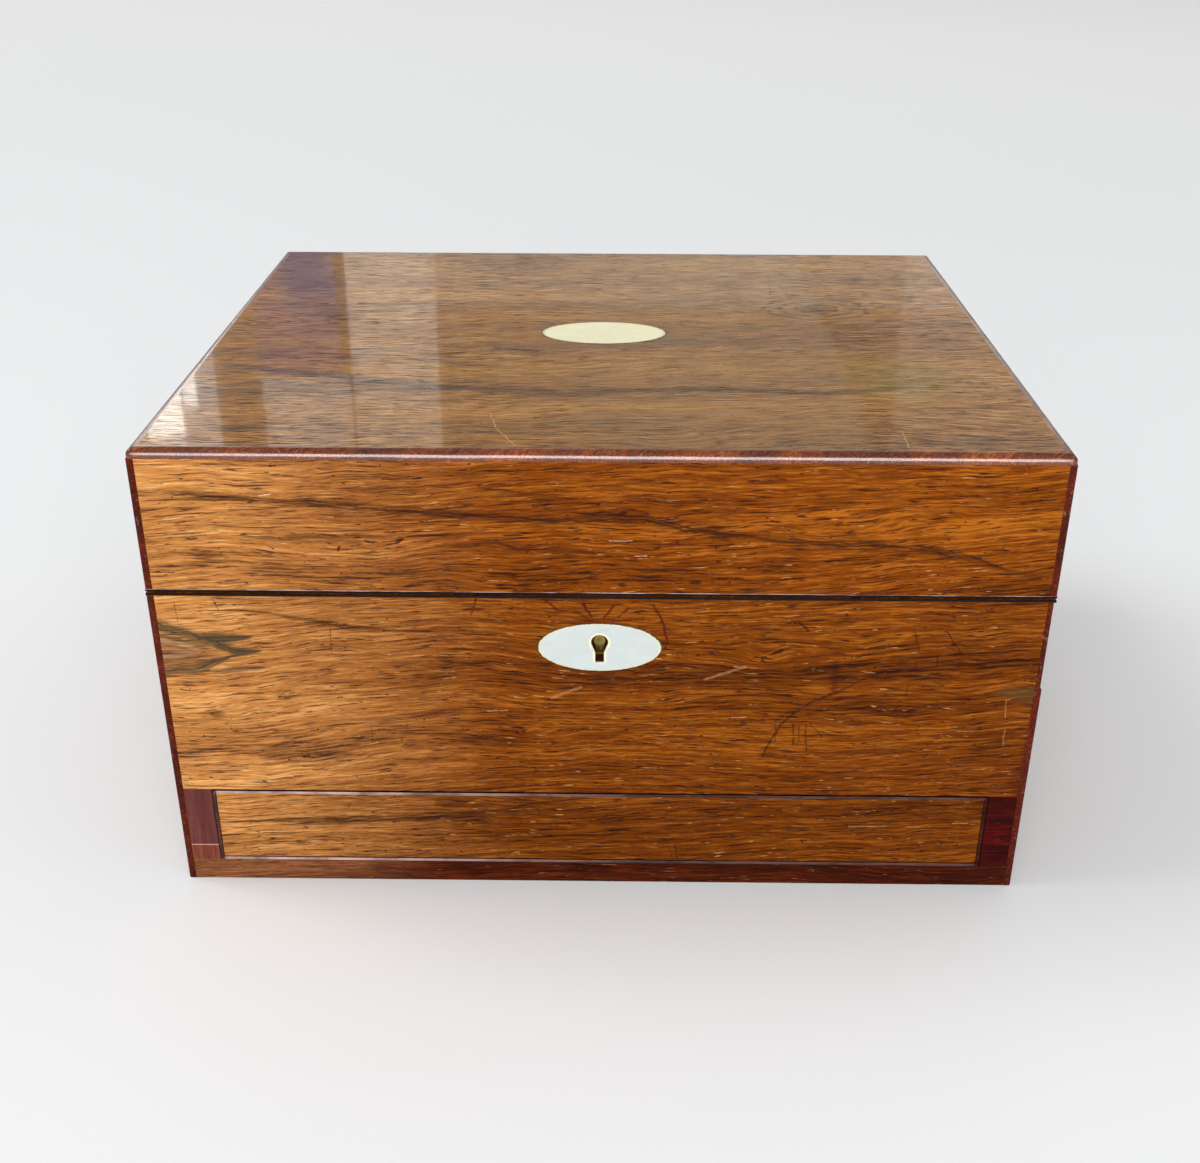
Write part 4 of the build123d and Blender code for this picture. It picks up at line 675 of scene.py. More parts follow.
def top_shade(steps, place, tones):
    """The top's wood is greyer in the middle, and has a purple-dark slanting band at the left that is a
    painted reflection.
    """
    slant, start = 0.29, 0.1097
    along, across, _ = steps.split(place)
    grey = steps.between(along, -0.06, 0.03)
    grey = steps.times(grey, steps.between(along, 0.085, 0.092, 1.0, 0.0))
    share = steps.times(grey, 0.3)
    away = steps.size(steps.plus(steps.times_plus(across, slant, along), start))
    dark_reflection = steps.times(steps.between(away, 0.006, 0.02, 0.55, 0.0), steps.between(across, -0.02, 0.07))
    return [steps.mix(dark_reflection, steps.mix(share, each, tone(150, 122, 92)), tone(66, 46, 58)) for each in tones]


def rosewood_tones(depth=1.0):
    """The rosewood's light, middle and dark tones. A depth under 1 darkens them."""
    finish = bpy.context.scene.vanity_box_finish
    colours = (finish.rosewood_light, finish.rosewood, finish.rosewood_dark)
    return [shaded(colour, depth) for colour in colours]


def side_wood(name):
    """Rosewood for the sides and the back, with the grain level on each."""
    material, steps, shader = new_material(name)
    coords = steps.add("ShaderNodeTexCoord")
    x, y, z = steps.split(coords.outputs["Object"])
    facing = steps.size(steps.split(coords.outputs["Normal"])[0])
    side = steps.math("GREATER_THAN", facing, 0.5)
    along = steps.add("ShaderNodeMix", {0: side, 2: x, 3: y}, data_type="FLOAT").outputs[0]
    depth = steps.add("ShaderNodeMix", {0: side, 2: y, 3: x}, data_type="FLOAT").outputs[0]
    place = steps.join(along, z, depth)
    figure = wood_figure(steps, turned(steps, place, 1.5), 6.4, 0.013, 0.024, 0.75, rosewood_tones())
    roughness = steps.between(steps.noise(place, 60, 3), 0.25, 0.75, 0.28, 0.42)
    finish_shader(steps, shader, figure["Color"], roughness, figure["Height"], shine=0.15)
    return material


def plain_wood(name, axes, tones, seed, flecks=0.5):
    """A wood with a quieter figure than the rosewood."""
    return rosewood(name, axes, seed, tones, tilt=0.6, band=0.008, wave=0.01, flecks=flecks, gloss=0.4)


def patched_stile(name):
    """The left stile: purple-brown wood over a redder patch, with a pale line where they meet."""
    material, steps, shader = new_material(name)
    place = board_place(steps, "zxy")
    height = steps.split(place)[0]
    lower = steps.between(height, PATCH_TOP * MM - 0.0001, PATCH_TOP * MM, 1.0, 0.0)
    purple = (tone(112, 58, 54), tone(88, 42, 40), tone(66, 30, 28))
    red = (tone(136, 72, 52), tone(104, 48, 34), tone(56, 24, 18))
    tones = steps.mixes(lower, purple, red)
    figure = wood_figure(steps, place, 2.0, 0.02, 0.01, 0.3, tones, fibres=0.9)
    line = steps.size(steps.minus(height, PATCH_TOP * MM))
    line = steps.between(line, 0.00015, 0.0003, 0.8, 0.0)
    colour = steps.mix(line, figure["Color"], tone(196, 150, 140))
    finish_shader(steps, shader, colour, 0.4, figure["Height"], shine=0.1)
    return material


def bead_wood(name):
    """The drawer's bead: dark, with a painted highlight along its crest at the top and the bottom, which
    fades towards the right away from the light at the left.
    """
    material, steps, shader = new_material(name)
    spot = steps.spot()
    x, y, z = steps.split(spot)
    place = steps.join(x, z, y)
    tones = (tone(80, 34, 18), tone(40, 14, 7), tone(16, 5, 3))
    figure = wood_figure(steps, place, 5.1, 0.02, 0.004, 0.4, tones)
    # A pale painted highlight on the crest, weaker towards the right.
    crest_highlight = steps.between(y, BEAD_FRONT * MM, (BEAD_FRONT + 0.1) * MM, 1.0, 0.0)
    runs = steps.between(steps.size(x), (BEAD_END - 0.5) * MM, (BEAD_END + 0.5) * MM, 1.0, 0.12)
    highlight_fade = steps.between(x, -0.12, 0.02, 0.9, 0.12)
    patches = steps.between(steps.noise(spot, 50, 3, 0.7), 0.35, 0.6, 0.35, 1.0)
    share = steps.times(steps.times(crest_highlight, runs), steps.times(highlight_fade, patches))
    colour = steps.mix(share, figure["Color"], tone(206, 172, 166))
    finish_shader(steps, shader, colour, 0.4, figure["Height"], shine=0.03)
    return material


def edging_wood(name, tones, shine, coat=0.0):
    """Thin strips whose grain runs along them, with pale worn specks."""
    material, steps, shader = new_material(name)
    spot = steps.spot()
    figure = wood_figure(steps, round_place(steps, *steps.split(spot)), 3.3, 0.02, 0.004, 0.5, tones)
    patches = steps.between(steps.noise(spot, (55, 55, 90), 3, 0.6), 0.35, 0.65)
    colour = steps.mix(steps.times(patches, 0.35), figure["Color"], tones[2])
    worn = steps.between(steps.noise(spot, (500, 500, 260), 3, 0.7), 0.62, 0.7)
    colour = steps.mix(steps.times(worn, 0.15), colour, tone(232, 190, 170))
    roughness = steps.between(patches, 0.0, 1.0, 0.26, 0.4)
    finish_shader(steps, shader, colour, roughness, figure["Height"], shine=shine, coat=coat,
                  coat_roughness=0.14)
    return material


def rim_wood(name, tones, height, upwards):
    """The facing of a rim: its wood, painted shade of the gap along the arris at the saw cut and, on the lid,
    a pale line that is a painted highlight on the worn arris.
    """
    material, steps, shader = new_material(name)
    spot = steps.spot()
    x, y, z = steps.split(spot)
    figure = wood_figure(steps, round_place(steps, x, y, z), 8.2, 0.02, 0.004, 0.6, tones)
    away = steps.size(steps.minus(z, height * MM))
    away = steps.times_plus(steps.noise(spot, (160, 160, 600), 3), 0.0002, away)
    outside = steps.most(steps.minus(steps.size(x), CAD_BOX[1][0]),
                         steps.minus(steps.size(y), RIM_HALF_DEPTH * MM))
    outside = steps.between(outside, -0.0006, -0.0003)
    colour = figure["Color"]
    # On the lid, a pale line is a painted highlight on the worn arris.
    if upwards:
        line = steps.between(away, 0.0011, 0.0012, 1.0, 0.0)
        patches = steps.between(steps.noise(spot, 60, 3, 0.7), 0.4, 0.6, 0.1, 0.85)
        pale = steps.times(steps.times(line, patches), outside)
        colour = steps.mix(pale, colour, tone(206, 184, 190))
    # Painted shade of the gap along the outer arris at the saw cut.
    grime = steps.times(steps.between(away, 0.00078, 0.0009, 1.0, 0.0), outside)
    colour = steps.mix(grime, colour, tone(14, 6, 4))
    finish_shader(steps, shader, colour, 0.45, figure["Height"], shine=0.1)
    return material


def pearl(name, axes, centre, half, body, keyhole=False):
    """Mother of pearl: cloudy, a little blue, with a thin cream rim and a grimy line round it."""
    finish = bpy.context.scene.vanity_box_finish
    material, steps, shader = new_material(name)
    place = board_place(steps, axes)
    reach = steps.vector("DIVIDE", steps.vector("SUBTRACT", place, (*centre, 0)), (*half, 1))
    away = steps.vector("LENGTH", steps.flat(reach))
    cloud = steps.noise(place, (70, 140, 70), 4, 0.6, 1.5)
    rim = shaded(finish.pearl_rim)
    colour = steps.mix(steps.between(cloud, 0.35, 0.65), shaded(body), shaded(body, 1.06))
    blush = steps.between(steps.noise(place, (40, 90, 40), 3, 0.5, 2.0), 0.55, 0.75)
    colour = steps.mix(steps.times(blush, 0.25), colour, rim)
    colour = steps.mix(steps.between(away, 0.93, 0.955), colour, rim)
    if keyhole:
        x, y, _ = steps.split(place)
        up = steps.minus(y, BOW_HEIGHT * MM)
        bow = steps.minus(steps.vector("LENGTH", steps.join(x, up, 0.0)), BOW_RADIUS * MM)
        bit = steps.most(steps.minus(steps.size(x), BIT_HALF_WIDTH * MM),
                         steps.minus(steps.size(steps.plus(up, BIT_DROP * MM)), BIT_DROP * MM))
        ring = steps.between(steps.least(bow, bit), 0.0004, 0.0007, 1.0, 0.0)
        colour = steps.mix(ring, colour, tone(232, 224, 196))
    jag = steps.noise(place, 700, 3)
    edge = steps.times_plus(steps.minus(jag, 0.5), 0.05, away)
    colour = steps.mix(steps.between(edge, 0.965, 0.98), colour, tone(58, 40, 20))
    finish_shader(steps, shader, colour, 0.3, cloud, 0.00003, coat=0.3, coat_roughness=0.08)
    return material


def metal(name, colour, tarnish, roughness):
    """Old metal with darker tarnish in patches and fine rubbing marks."""
    material, steps, shader = new_material(name)
    spot = steps.spot()
    cloud = steps.noise(spot, 180, 4, 0.6)
    rub = steps.noise(spot, (2200, 240, 2200), 2)
    share = steps.between(cloud, 0.38, 0.68)
    mixed = steps.mix(share, colour, tarnish)
    rough = steps.times_plus(share, 0.22, steps.between(rub, 0.3, 0.7, roughness - 0.06, roughness + 0.08))
    shader.inputs["Metallic"].default_value = 1.0
    finish_shader(steps, shader, mixed, rough, rub, 0.00001)
    return material


def velvet(name):
    """Worn pile that is darker where it is pressed flat."""
    finish = bpy.context.scene.vanity_box_finish
    material, steps, shader = new_material(name)
    spot = steps.spot()
    pile = steps.noise(spot, 3200, 2, 0.6)
    lay = steps.noise(spot, 55, 3, 0.55, 0.8)
    colour = steps.mix(steps.between(lay, 0.3, 0.7), shaded(finish.velvet), shaded(finish.velvet, 2.0))
    colour = steps.mix(steps.between(pile, 0.55, 0.75, 0.0, 0.5), colour, shaded(finish.velvet, 3.2))
    height = steps.times_plus(lay, 1.5, pile)
    finish_shader(steps, shader, colour, 0.95, height, 0.0002, shine=0.15)
    shader.inputs["Sheen Weight"].default_value = 0.12
    shader.inputs["Sheen Roughness"].default_value = 0.4
    return material


def mirror_silver(name):
    """Old silvering with a few dark specks and a dull edge."""
    material, steps, shader = new_material(name)
    spot = steps.spot()
    x, y, _ = steps.split(spot)
    edge = steps.most(steps.over(steps.size(x), GLASS_HALF_WIDTH * MM),
                      steps.over(steps.size(y), GLASS_HALF_DEPTH * MM))
    edge = steps.times_plus(steps.noise(spot, 90, 3), 0.06, edge)
    specks = steps.between(steps.noise(spot, 240, 3), 0.68, 0.74)
    dull = steps.most(steps.between(edge, 0.96, 1.03), specks)
    colour = steps.mix(dull, tone(236, 238, 238), tone(120, 112, 100))
    shader.inputs["Metallic"].default_value = 1.0
    steps.feed(shader.inputs["Base Color"], colour)
    steps.feed(shader.inputs["Roughness"], steps.between(dull, 0.0, 1.0, 0.02, 0.4))
    return material


def made_materials():
    """Every finish by name, as a function that makes it."""
    finish = bpy.context.scene.vanity_box_finish
    mahogany = (tone(176, 106, 66), tone(140, 76, 44), tone(74, 32, 18))
    top = (tone(190, 132, 46), tone(146, 90, 14), tone(58, 34, 10))
    rail = (tone(94, 36, 8), tone(58, 16, 1), tone(22, 4, 1))
    red = (tone(96, 12, 6), tone(54, 2, 1), tone(20, 1, 1))
    pine = (tone(190, 160, 120), tone(160, 128, 90), tone(96, 70, 46))
    edging = (tone(124, 50, 28), shaded(finish.edging), tone(40, 12, 6))
    moulding = (tone(166, 88, 36), tone(112, 50, 20), tone(50, 18, 10))
    return {
        "rosewood_lid_front": lambda n: rosewood(
            n, "xzy", 1.3, rosewood_tones(0.95), marks=LID_FRONT_MARKS, shade=front_fade_and_haze,
            swells=LID_FRONT_SWELLS),
        "rosewood_drawer_front": lambda n: rosewood(
            n, "xzy", 7.7, rosewood_tones(0.7), marks=DRAWER_FRONT_MARKS, shade=front_fade_and_haze),
        "rosewood_bottom_rail": lambda n: rosewood(
            n, "xzy", 2.1, rail, tilt=0.5, shade=rail_haze, flecks=0.6),
        "rosewood_lid_top": lambda n: rosewood(
            n, "xyz", 5.6, top, marks=LID_TOP_MARKS, shade=top_shade, swells=LID_TOP_SWELLS, band=0.022,
            wave=0.03, gloss=0.34, fibres=2.3, coat=0.5),
        "rosewood_sides": side_wood,
        "base_rim": lambda n: rim_wood(n, rosewood_tones(), BASE_TOP, False),
        "lid_rim": lambda n: rim_wood(n, rosewood_tones(), LID_BOTTOM, True),
        "left_facing": patched_stile,
        "right_facing": lambda n: plain_wood(n, "xzy", red, 3.0, flecks=0.3),
        "mahogany_x": lambda n: plain_wood(n, "xzy", mahogany, 0.4),
        "mahogany_keyhole": lambda n: rosewood(
            n, "xzy", 0.4, mahogany, marks=KEYHOLE_MARKS, gloss=0.4, flecks=0.5, band=0.008, wave=0.01),
        "mahogany_y": lambda n: plain_wood(n, "yzx", mahogany, 1.4),
        "mahogany_flat": lambda n: plain_wood(n, "xyz", mahogany, 2.4),
        "backing_board": lambda n: plain_wood(n, "xyz", pine, 5.0),
        "corner_edging": lambda n: edging_wood(n, edging, 0.05),
        "lid_moulding": lambda n: edging_wood(n, moulding, 0.2, coat=0.8),
        "drawer_bead": bead_wood,
        "pearl_escutcheon": lambda n: pearl(
            n, "xzy", centre=(0.0, 0.09975), half=(0.0215, 0.00935), body=finish.pearl, keyhole=True),
        "pearl_cartouche": lambda n: pearl(
            n, "xyz", centre=(0.0, 0.0), half=(0.025, 0.0145), body=finish.cartouche),
        "old_brass": lambda n: metal(n, shaded(finish.brass), tone(88, 70, 40), 0.32),
        "dull_brass": lambda n: metal(n, tone(120, 108, 54), tone(62, 54, 22), 0.45),
        "blued_steel": lambda n: metal(n, tone(120, 120, 122), tone(64, 62, 62), 0.36),
        "wine_velvet": velvet,
        "mirror_silver": mirror_silver,
    }


def material(name):
    """The named finish, made the first time that it is asked for."""
    return bpy.data.materials.get(name) or made_materials()[name](name)


def base_front_materials():
    """The base's front finish in stretches, each with only the marks that reach into it."""
    found = []
    ends = (-FRONT_END, *BASE_FRONT_CUTS, FRONT_END)
    for number, (low, high) in enumerate(zip(ends, ends[1:])):
        found.append(rosewood(
            f"rosewood_base_front_{number + 1}", "xzy", 4.9, rosewood_tones(0.79), shade=front_fade_and_haze,
            marks=marks_between(BASE_FRONT_MARKS, low, high), swells=BASE_FRONT_SWELLS))
    return found


def cut_along(shape, point, side, near=0.0):
    """Cuts a shape along a plane and keeps both sides of it."""
    geometry = shape.verts[:] + shape.edges[:] + shape.faces[:]
    bmesh.ops.bisect_plane(shape, geom=geometry, dist=near, plane_co=point, plane_no=side)


def cut_in_stretches(shape):
    """Cuts the base's front into the stretches of its finish."""
    for x in BASE_FRONT_CUTS:
        cut_along(shape, (x * MM, 0, 0), (1, 0, 0))
    for face in shape.faces:
        middle = face.calc_center_median().x
        face.material_index = sum(middle > x * MM for x in BASE_FRONT_CUTS)


def clean_copy(node):
    """A CAD node's shape with its loose triangles merged and its flat faces whole again."""
    shape = bmesh.new()
    shape.from_mesh(frame["nodes"][node].data)
    bmesh.ops.remove_doubles(shape, verts=shape.verts, dist=2e-6)
    bmesh.ops.dissolve_limit(shape, angle_limit=math.radians(0.6), verts=shape.verts, edges=shape.edges)
    return shape


def as_object(shape, name, body):
    """A finished bmesh as a piece of that body, smooth apart from its real edges."""
    mesh = bpy.data.meshes.new(name)
    shape.to_mesh(mesh)
    shape.free()
    mesh.shade_smooth()
    mesh.set_sharp_from_angle(angle=SHARP_ANGLE)
    piece = bpy.data.objects.new(name, mesh)
    bpy.context.scene.collection.objects.link(piece)
    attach(piece, body)
    return piece


def stand_in(piece, node):
    """Lets the piece stand for a CAD node by hiding that node."""
    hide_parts(node)
    return piece


def dressed(node, finish, edge, shaped=None):
    """Stands for a CAD node with its arrises eased and its finish on. The edge is in millimetres."""
    shape = clean_copy(node)
    if shaped:
        shaped(shape)
    piece = as_object(shape, node + "_finished", frame["nodes"][node]["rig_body"])
    if edge:
        bevel = piece.modifiers.new("eased arrises", "BEVEL")
        bevel.width = edge * MM
        bevel.segments = 2
        bevel.limit_method = "ANGLE"
        bevel.angle_limit = SHARP_ANGLE
        bevel.harden_normals = True
    for each in finish if isinstance(finish, list) else [material(finish)]:
        piece.data.materials.append(each)
    return stand_in(piece, node)


def step_back_upper_edging(shape):
    """Steps the worn upper part of the front right edging back from the lower part."""
    for height in (EDGING_STEP - 0.3, EDGING_STEP + 0.3):
        cut_along(shape, (0, 0, height * MM), (0, 0, 1))
    for vert in shape.verts:
        if vert.co.x > 0 and vert.co.y < 0 and vert.co.z > EDGING_STEP * MM:
            if vert.co.x > EDGING_SIDE * MM:
                vert.co.x -= 0.6 * MM
            if vert.co.y < EDGING_FRONT * MM:
                vert.co.y += 0.2 * MM


def moulding_shape():
    """The rounded moulding round the lid's top edge, with its corners and its nose worn unevenly."""
    corner_low, corner_high = node_box("lid_moulding")
    half_x, half_y, high = corner_high
    low = corner_low.z
    width, nose, corner, wear, sink = (size * MM for size in (3.5, 2.7, 1.8, 0.22, 0.15))
    arc = [math.radians(angle) for angle in range(0, 91, 9)]
    profile = [(width, low), (0.0, low), (0.0, (low + high - nose) / 2)]
    profile += [(nose - nose * math.cos(angle), high - nose + nose * math.sin(angle)) for angle in arc]
    profile.append((width, high))
    path = []
    for turn, (side_x, side_y) in enumerate(((1, 1), (-1, 1), (-1, -1), (1, -1))):
        for step in range(7):
            path.append((side_x, side_y, math.radians(90 * turn + 15 * step)))
    rings = []
    for offset, height in profile:
        ring = []
        for side_x, side_y, angle in path:
            reach = max(corner - offset, 0.0)
            back = max(offset, corner)
            ring.append(Vector((side_x * (half_x - back) + reach * math.cos(angle),
                                side_y * (half_y - back) + reach * math.sin(angle), height)))
        rings.append(subdivided(ring, 5 * MM))
    shape = bmesh.new()
    made = []
    for (offset, height), ring in zip(profile, rings):
        row = []
        for point in ring:
            worn = noise.noise(point * 60 + Vector((3, 1, 7))) * 0.5 + noise.noise(point * 260) * 0.3
            if 0 < offset < nose and height > low + 0.3 * MM:
                point = point + Vector((-point.x, -point.y, 0)).normalized() * max(worn, 0) * wear
                point.z -= max(worn, 0) * sink
            row.append(shape.verts.new(point))
        made.append(row)
    count = len(made[0])
    for first, second in zip(made, made[1:] + made[:1]):
        for index in range(count):
            after = (index + 1) % count
            shape.faces.new((first[index], first[after], second[after], second[index]))
    bmesh.ops.remove_doubles(shape, verts=shape.verts, dist=1e-6)
    bmesh.ops.recalc_face_normals(shape, faces=shape.faces)
    return shape


def corners_of(points):
    """The lowest and the highest corner of some points."""
    return [Vector([pick(point[axis] for point in points) for axis in range(3)]) for pick in (min, max)]


def node_box(node):
    """The lowest and the highest corner of a CAD node."""
    return corners_of([vert.co for vert in frame["nodes"][node].data.vertices])


def subdivided(ring, longest):
    """A closed ring of points with its long runs divided evenly."""
    points = []
    for first, second in zip(ring, ring[1:] + ring[:1]):
        runs = max(1, math.ceil((second - first).length / longest))
        points += [first.lerp(second, step / runs) for step in range(runs)]
    return points


def loose_parts(node):
    """The separate solids of a CAD node, as lists of points."""
    shape = clean_copy(node)
    parts, seen = [], set()
    for start in shape.verts:
        if start in seen:
            continue
        seen.add(start)
        part, waiting = [], [start]
        while waiting:
            vert = waiting.pop()
            part.append(vert.co.copy())
            for edge in vert.link_edges:
                other = edge.other_vert(vert)
                if other not in seen:
                    seen.add(other)
                    waiting.append(other)
        parts.append(part)
    shape.free()
    return parts


def screw_seats(node):
    """Where each screw's head sits in a CAD node, and the way that it faces."""
    seats = []
    for part in loose_parts(node):
        low, high = corners_of(part)
        middle = (low + high) / 2
        axis = max(range(3), key=lambda index: high[index] - low[index])
        spread = {}
        for end in (low[axis], high[axis]):
            near = [point for point in part if abs(point[axis] - end) < 0.05 * MM]
            spread[end] = max((point - middle).cross(Vector([i == axis for i in range(3)])).length
                              for point in near)
        head = max(spread, key=spread.get)
        seat = middle.copy()
        seat[axis] = head
        facing = Vector((0, 0, 0))
        facing[axis] = 1.0 if head == high[axis] else -1.0
        seats.append((seat, facing))
    return seats


def slotted_screw_tree():
    """Geometry nodes that set a countersunk, slotted screw at each point, each turned its own way."""
    tree = bpy.data.node_groups.new("Slotted Screws", "GeometryNodeTree")
    sizes = {"Head Radius": 1.9, "Shank Radius": 0.9, "Head Depth": 1.0, "Length": 7.0, "Slot Width": 0.5,
             "Slot Depth": 0.55}
    tree.interface.new_socket(name="Places", in_out="INPUT", socket_type="NodeSocketGeometry")
    for name, value in sizes.items():
        socket = tree.interface.new_socket(name=name, in_out="INPUT", socket_type="NodeSocketFloat")
        socket.subtype = "DISTANCE"
        socket.default_value = value * MM
    tree.interface.new_socket(name="Seed", in_out="INPUT", socket_type="NodeSocketInt")
    tree.interface.new_socket(name="Finish", in_out="INPUT", socket_type="NodeSocketMaterial")
    tree.interface.new_socket(name="Screws", in_out="OUTPUT", socket_type="NodeSocketGeometry")
    sides, overlap = 28, 0.4 * MM
    steps = Steps(tree)
    given = steps.add("NodeGroupInput").outputs
    drop = steps.times(given["Head Depth"], -1.0)
    head = steps.add("GeometryNodeMeshCone", {
        "Vertices": sides, "Radius Top": given["Head Radius"], "Radius Bottom": given["Shank Radius"],
        "Depth": given["Head Depth"]})
    head = steps.add("GeometryNodeTransform", {
        "Geometry": head.outputs["Mesh"], "Translation": steps.join(0, 0, drop)})
    reach = steps.plus(given["Length"], drop)
    shank = steps.add("GeometryNodeMeshCylinder", {
        "Vertices": sides, "Radius": given["Shank Radius"], "Depth": steps.plus(reach, overlap)})
    middle = steps.times_plus(reach, -0.5, steps.plus(drop, overlap / 2))
    shank = steps.add("GeometryNodeTransform", {
        "Geometry": shank.outputs["Mesh"], "Translation": steps.join(0, 0, middle)})
    whole = steps.add("GeometryNodeMeshBoolean", operation="UNION", solver="EXACT")
    for piece in (head, shank):
        tree.links.new(piece.outputs["Geometry"], whole.inputs["Mesh 2"])
    slot = steps.add("GeometryNodeMeshCube", {
        "Size": steps.join(steps.times(given["Head Radius"], 2.4), given["Slot Width"],
                           steps.times(given["Slot Depth"], 2.0))})
    cut = steps.add("GeometryNodeMeshBoolean", {"Mesh 1": whole.outputs["Mesh"]}, operation="DIFFERENCE",
                    solver="EXACT")
    tree.links.new(slot.outputs["Mesh"], cut.inputs["Mesh 2"])
    facing = steps.add("GeometryNodeInputNamedAttribute", {"Name": "facing"}, data_type="FLOAT_VECTOR")
    upright = steps.add("FunctionNodeAlignRotationToVector", {"Vector": facing.outputs[0]}, axis="Z")
    turn = steps.add("FunctionNodeRandomValue", {"Seed": given["Seed"]}, data_type="FLOAT")
    turn.inputs[3].default_value = math.pi
    spin = steps.add("FunctionNodeAxisAngleToRotation", {"Axis": (0, 0, 1), "Angle": turn.outputs[1]})
    spun = steps.add("FunctionNodeRotateRotation", {0: upright.outputs[0], 1: spin.outputs[0]},
                     rotation_space="LOCAL")
    placed = steps.add("GeometryNodeInstanceOnPoints", {
        "Points": given["Places"], "Instance": cut.outputs["Mesh"], "Rotation": spun.outputs[0]})
    real = steps.add("GeometryNodeRealizeInstances", {"Geometry": placed.outputs[0]})
    done = steps.add("GeometryNodeSetMaterial", {"Geometry": real.outputs[0], "Material": given["Finish"]})
    end = steps.add("NodeGroupOutput")
    tree.links.new(done.outputs[0], end.inputs["Screws"])
    return tree


def screws(node, seed):
    """Slotted screws that stand for the screws of a CAD node."""
    seats = screw_seats(node)
    points = bpy.data.meshes.new(node + "_places")
    points.from_pydata([seat for seat, _ in seats], [], [])
    ways = points.attributes.new("facing", "FLOAT_VECTOR", "POINT")
    for entry, (_, facing) in zip(ways.data, seats):
        entry.vector = facing
    maker = bpy.data.objects.new(node + "_maker", points)
    bpy.context.scene.collection.objects.link(maker)
    tree = bpy.data.node_groups.get("Slotted Screws") or slotted_screw_tree()
    modifier = maker.modifiers.new("screws", "NODES")
    modifier.node_group = tree
    sockets = {item.name: item.identifier for item in tree.interface.items_tree if item.in_out == "INPUT"}
    modifier[sockets["Seed"]] = seed
    modifier[sockets["Finish"]] = material("old_brass")
    ready = maker.evaluated_get(bpy.context.evaluated_depsgraph_get())
    mesh = bpy.data.meshes.new_from_object(ready)
    piece = bpy.data.objects.new(node + "_finished", mesh)
    bpy.data.objects.remove(maker)
    mesh.name = node + "_finished"
    mesh.shade_smooth()
    mesh.set_sharp_from_angle(angle=math.radians(30))
    bpy.context.scene.collection.objects.link(piece)
    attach(piece, frame["nodes"][node]["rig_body"])
    return stand_in(piece, node)


def soft_lining(node):
    """Velvet over card: soft arrises, and a pile that rises and sinks a little."""
    shape = clean_copy(node)
    sharp = [edge for edge in shape.edges
             if len(edge.link_faces) == 2 and edge.calc_face_angle() > SHARP_ANGLE]
    bmesh.ops.bevel(shape, geom=sharp, offset=0.3 * MM, segments=2, profile=0.5, affect="EDGES",
                    clamp_overlap=True)
    low, high = corners_of([vert.co for vert in shape.verts])
    for axis in range(3):
        count = int((high[axis] - low[axis]) / (8 * MM))
        side = Vector([index == axis for index in range(3)])
        for step in range(1, count):
            cut_along(shape, low + side * (high[axis] - low[axis]) * step / count, side, 1e-6)
    shape.normal_update()
    rises = [noise.noise(vert.co * 70) * 0.6 + noise.noise(vert.co * 190) * 0.4 for vert in shape.verts]
    for vert, rise in zip(shape.verts, rises):
        vert.co -= vert.normal * (0.5 + 0.5 * rise) * 0.12 * MM
    piece = as_object(shape, node + "_finished", frame["nodes"][node]["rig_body"])
    piece.data.materials.append(material("wine_velvet"))
    return stand_in(piece, node)


def colour_setting(label, meaning, colour):
    """A colour in the sidebar."""
    return bpy.props.FloatVectorProperty(
        name=label, description=meaning, subtype="COLOR", min=0, max=1, default=colour[:3])


def number_setting(label, meaning, value, low=0.0, unit="NONE"):
    """A number in the sidebar."""
    return bpy.props.FloatProperty(name=label, description=meaning, default=value, min=low, unit=unit)


class VanityBoxFinish(bpy.types.PropertyGroup):
    """Colours of the wood, pearl, metal and velvet."""

    rosewood_light: colour_setting("Rosewood light", "Palest tone of the rosewood", tone(174, 98, 22))
    rosewood: colour_setting("Rosewood", "Middle tone of the rosewood", tone(122, 58, 2))
    rosewood_dark: colour_setting(
        "Rosewood dark", "Tone of the rosewood's streaks and pores", tone(46, 17, 3))
    edging: colour_setting("Edging", "Colour of the corner edging", tone(84, 28, 14))
    pearl: colour_setting("Pearl", "Colour of the pearl round the keyhole", tone(190, 198, 196))
    cartouche: colour_setting("Cartouche", "Colour of the yellowed pearl on the lid", tone(242, 236, 196))
    pearl_rim: colour_setting("Pearl rim", "Colour along the rim of the pearl", tone(214, 204, 160))
    brass: colour_setting("Brass", "Colour of the brass where it is rubbed clean", tone(206, 176, 108))
    velvet: colour_setting("Velvet", "Colour of the linings", (0.075, 0.006, 0.014))


class VanityBoxStage(bpy.types.PropertyGroup):
    """The floor, the lights and the camera."""

    floor_colour: colour_setting("Floor", "Colour of the floor", (0.87, 0.885, 0.895))
    key_power: number_setting("Key light", "Power of the large soft light at the left", 112.0, unit="POWER")
    front_power: number_setting("Front light", "Power of the wide light before the front", 52.0, unit="POWER")
    front_card: number_setting("Front card", "Brightness of the card that the moulding's nose shows", 13.0)
    key_size: number_setting("Key size", "Side of the key light", 3.0, low=0.01, unit="LENGTH")
    sky: number_setting("Sky", "Brightness of the pale surroundings", 0.6)
    lens: number_setting("Lens", "Focal length in millimetres", 43.59, low=1.0)


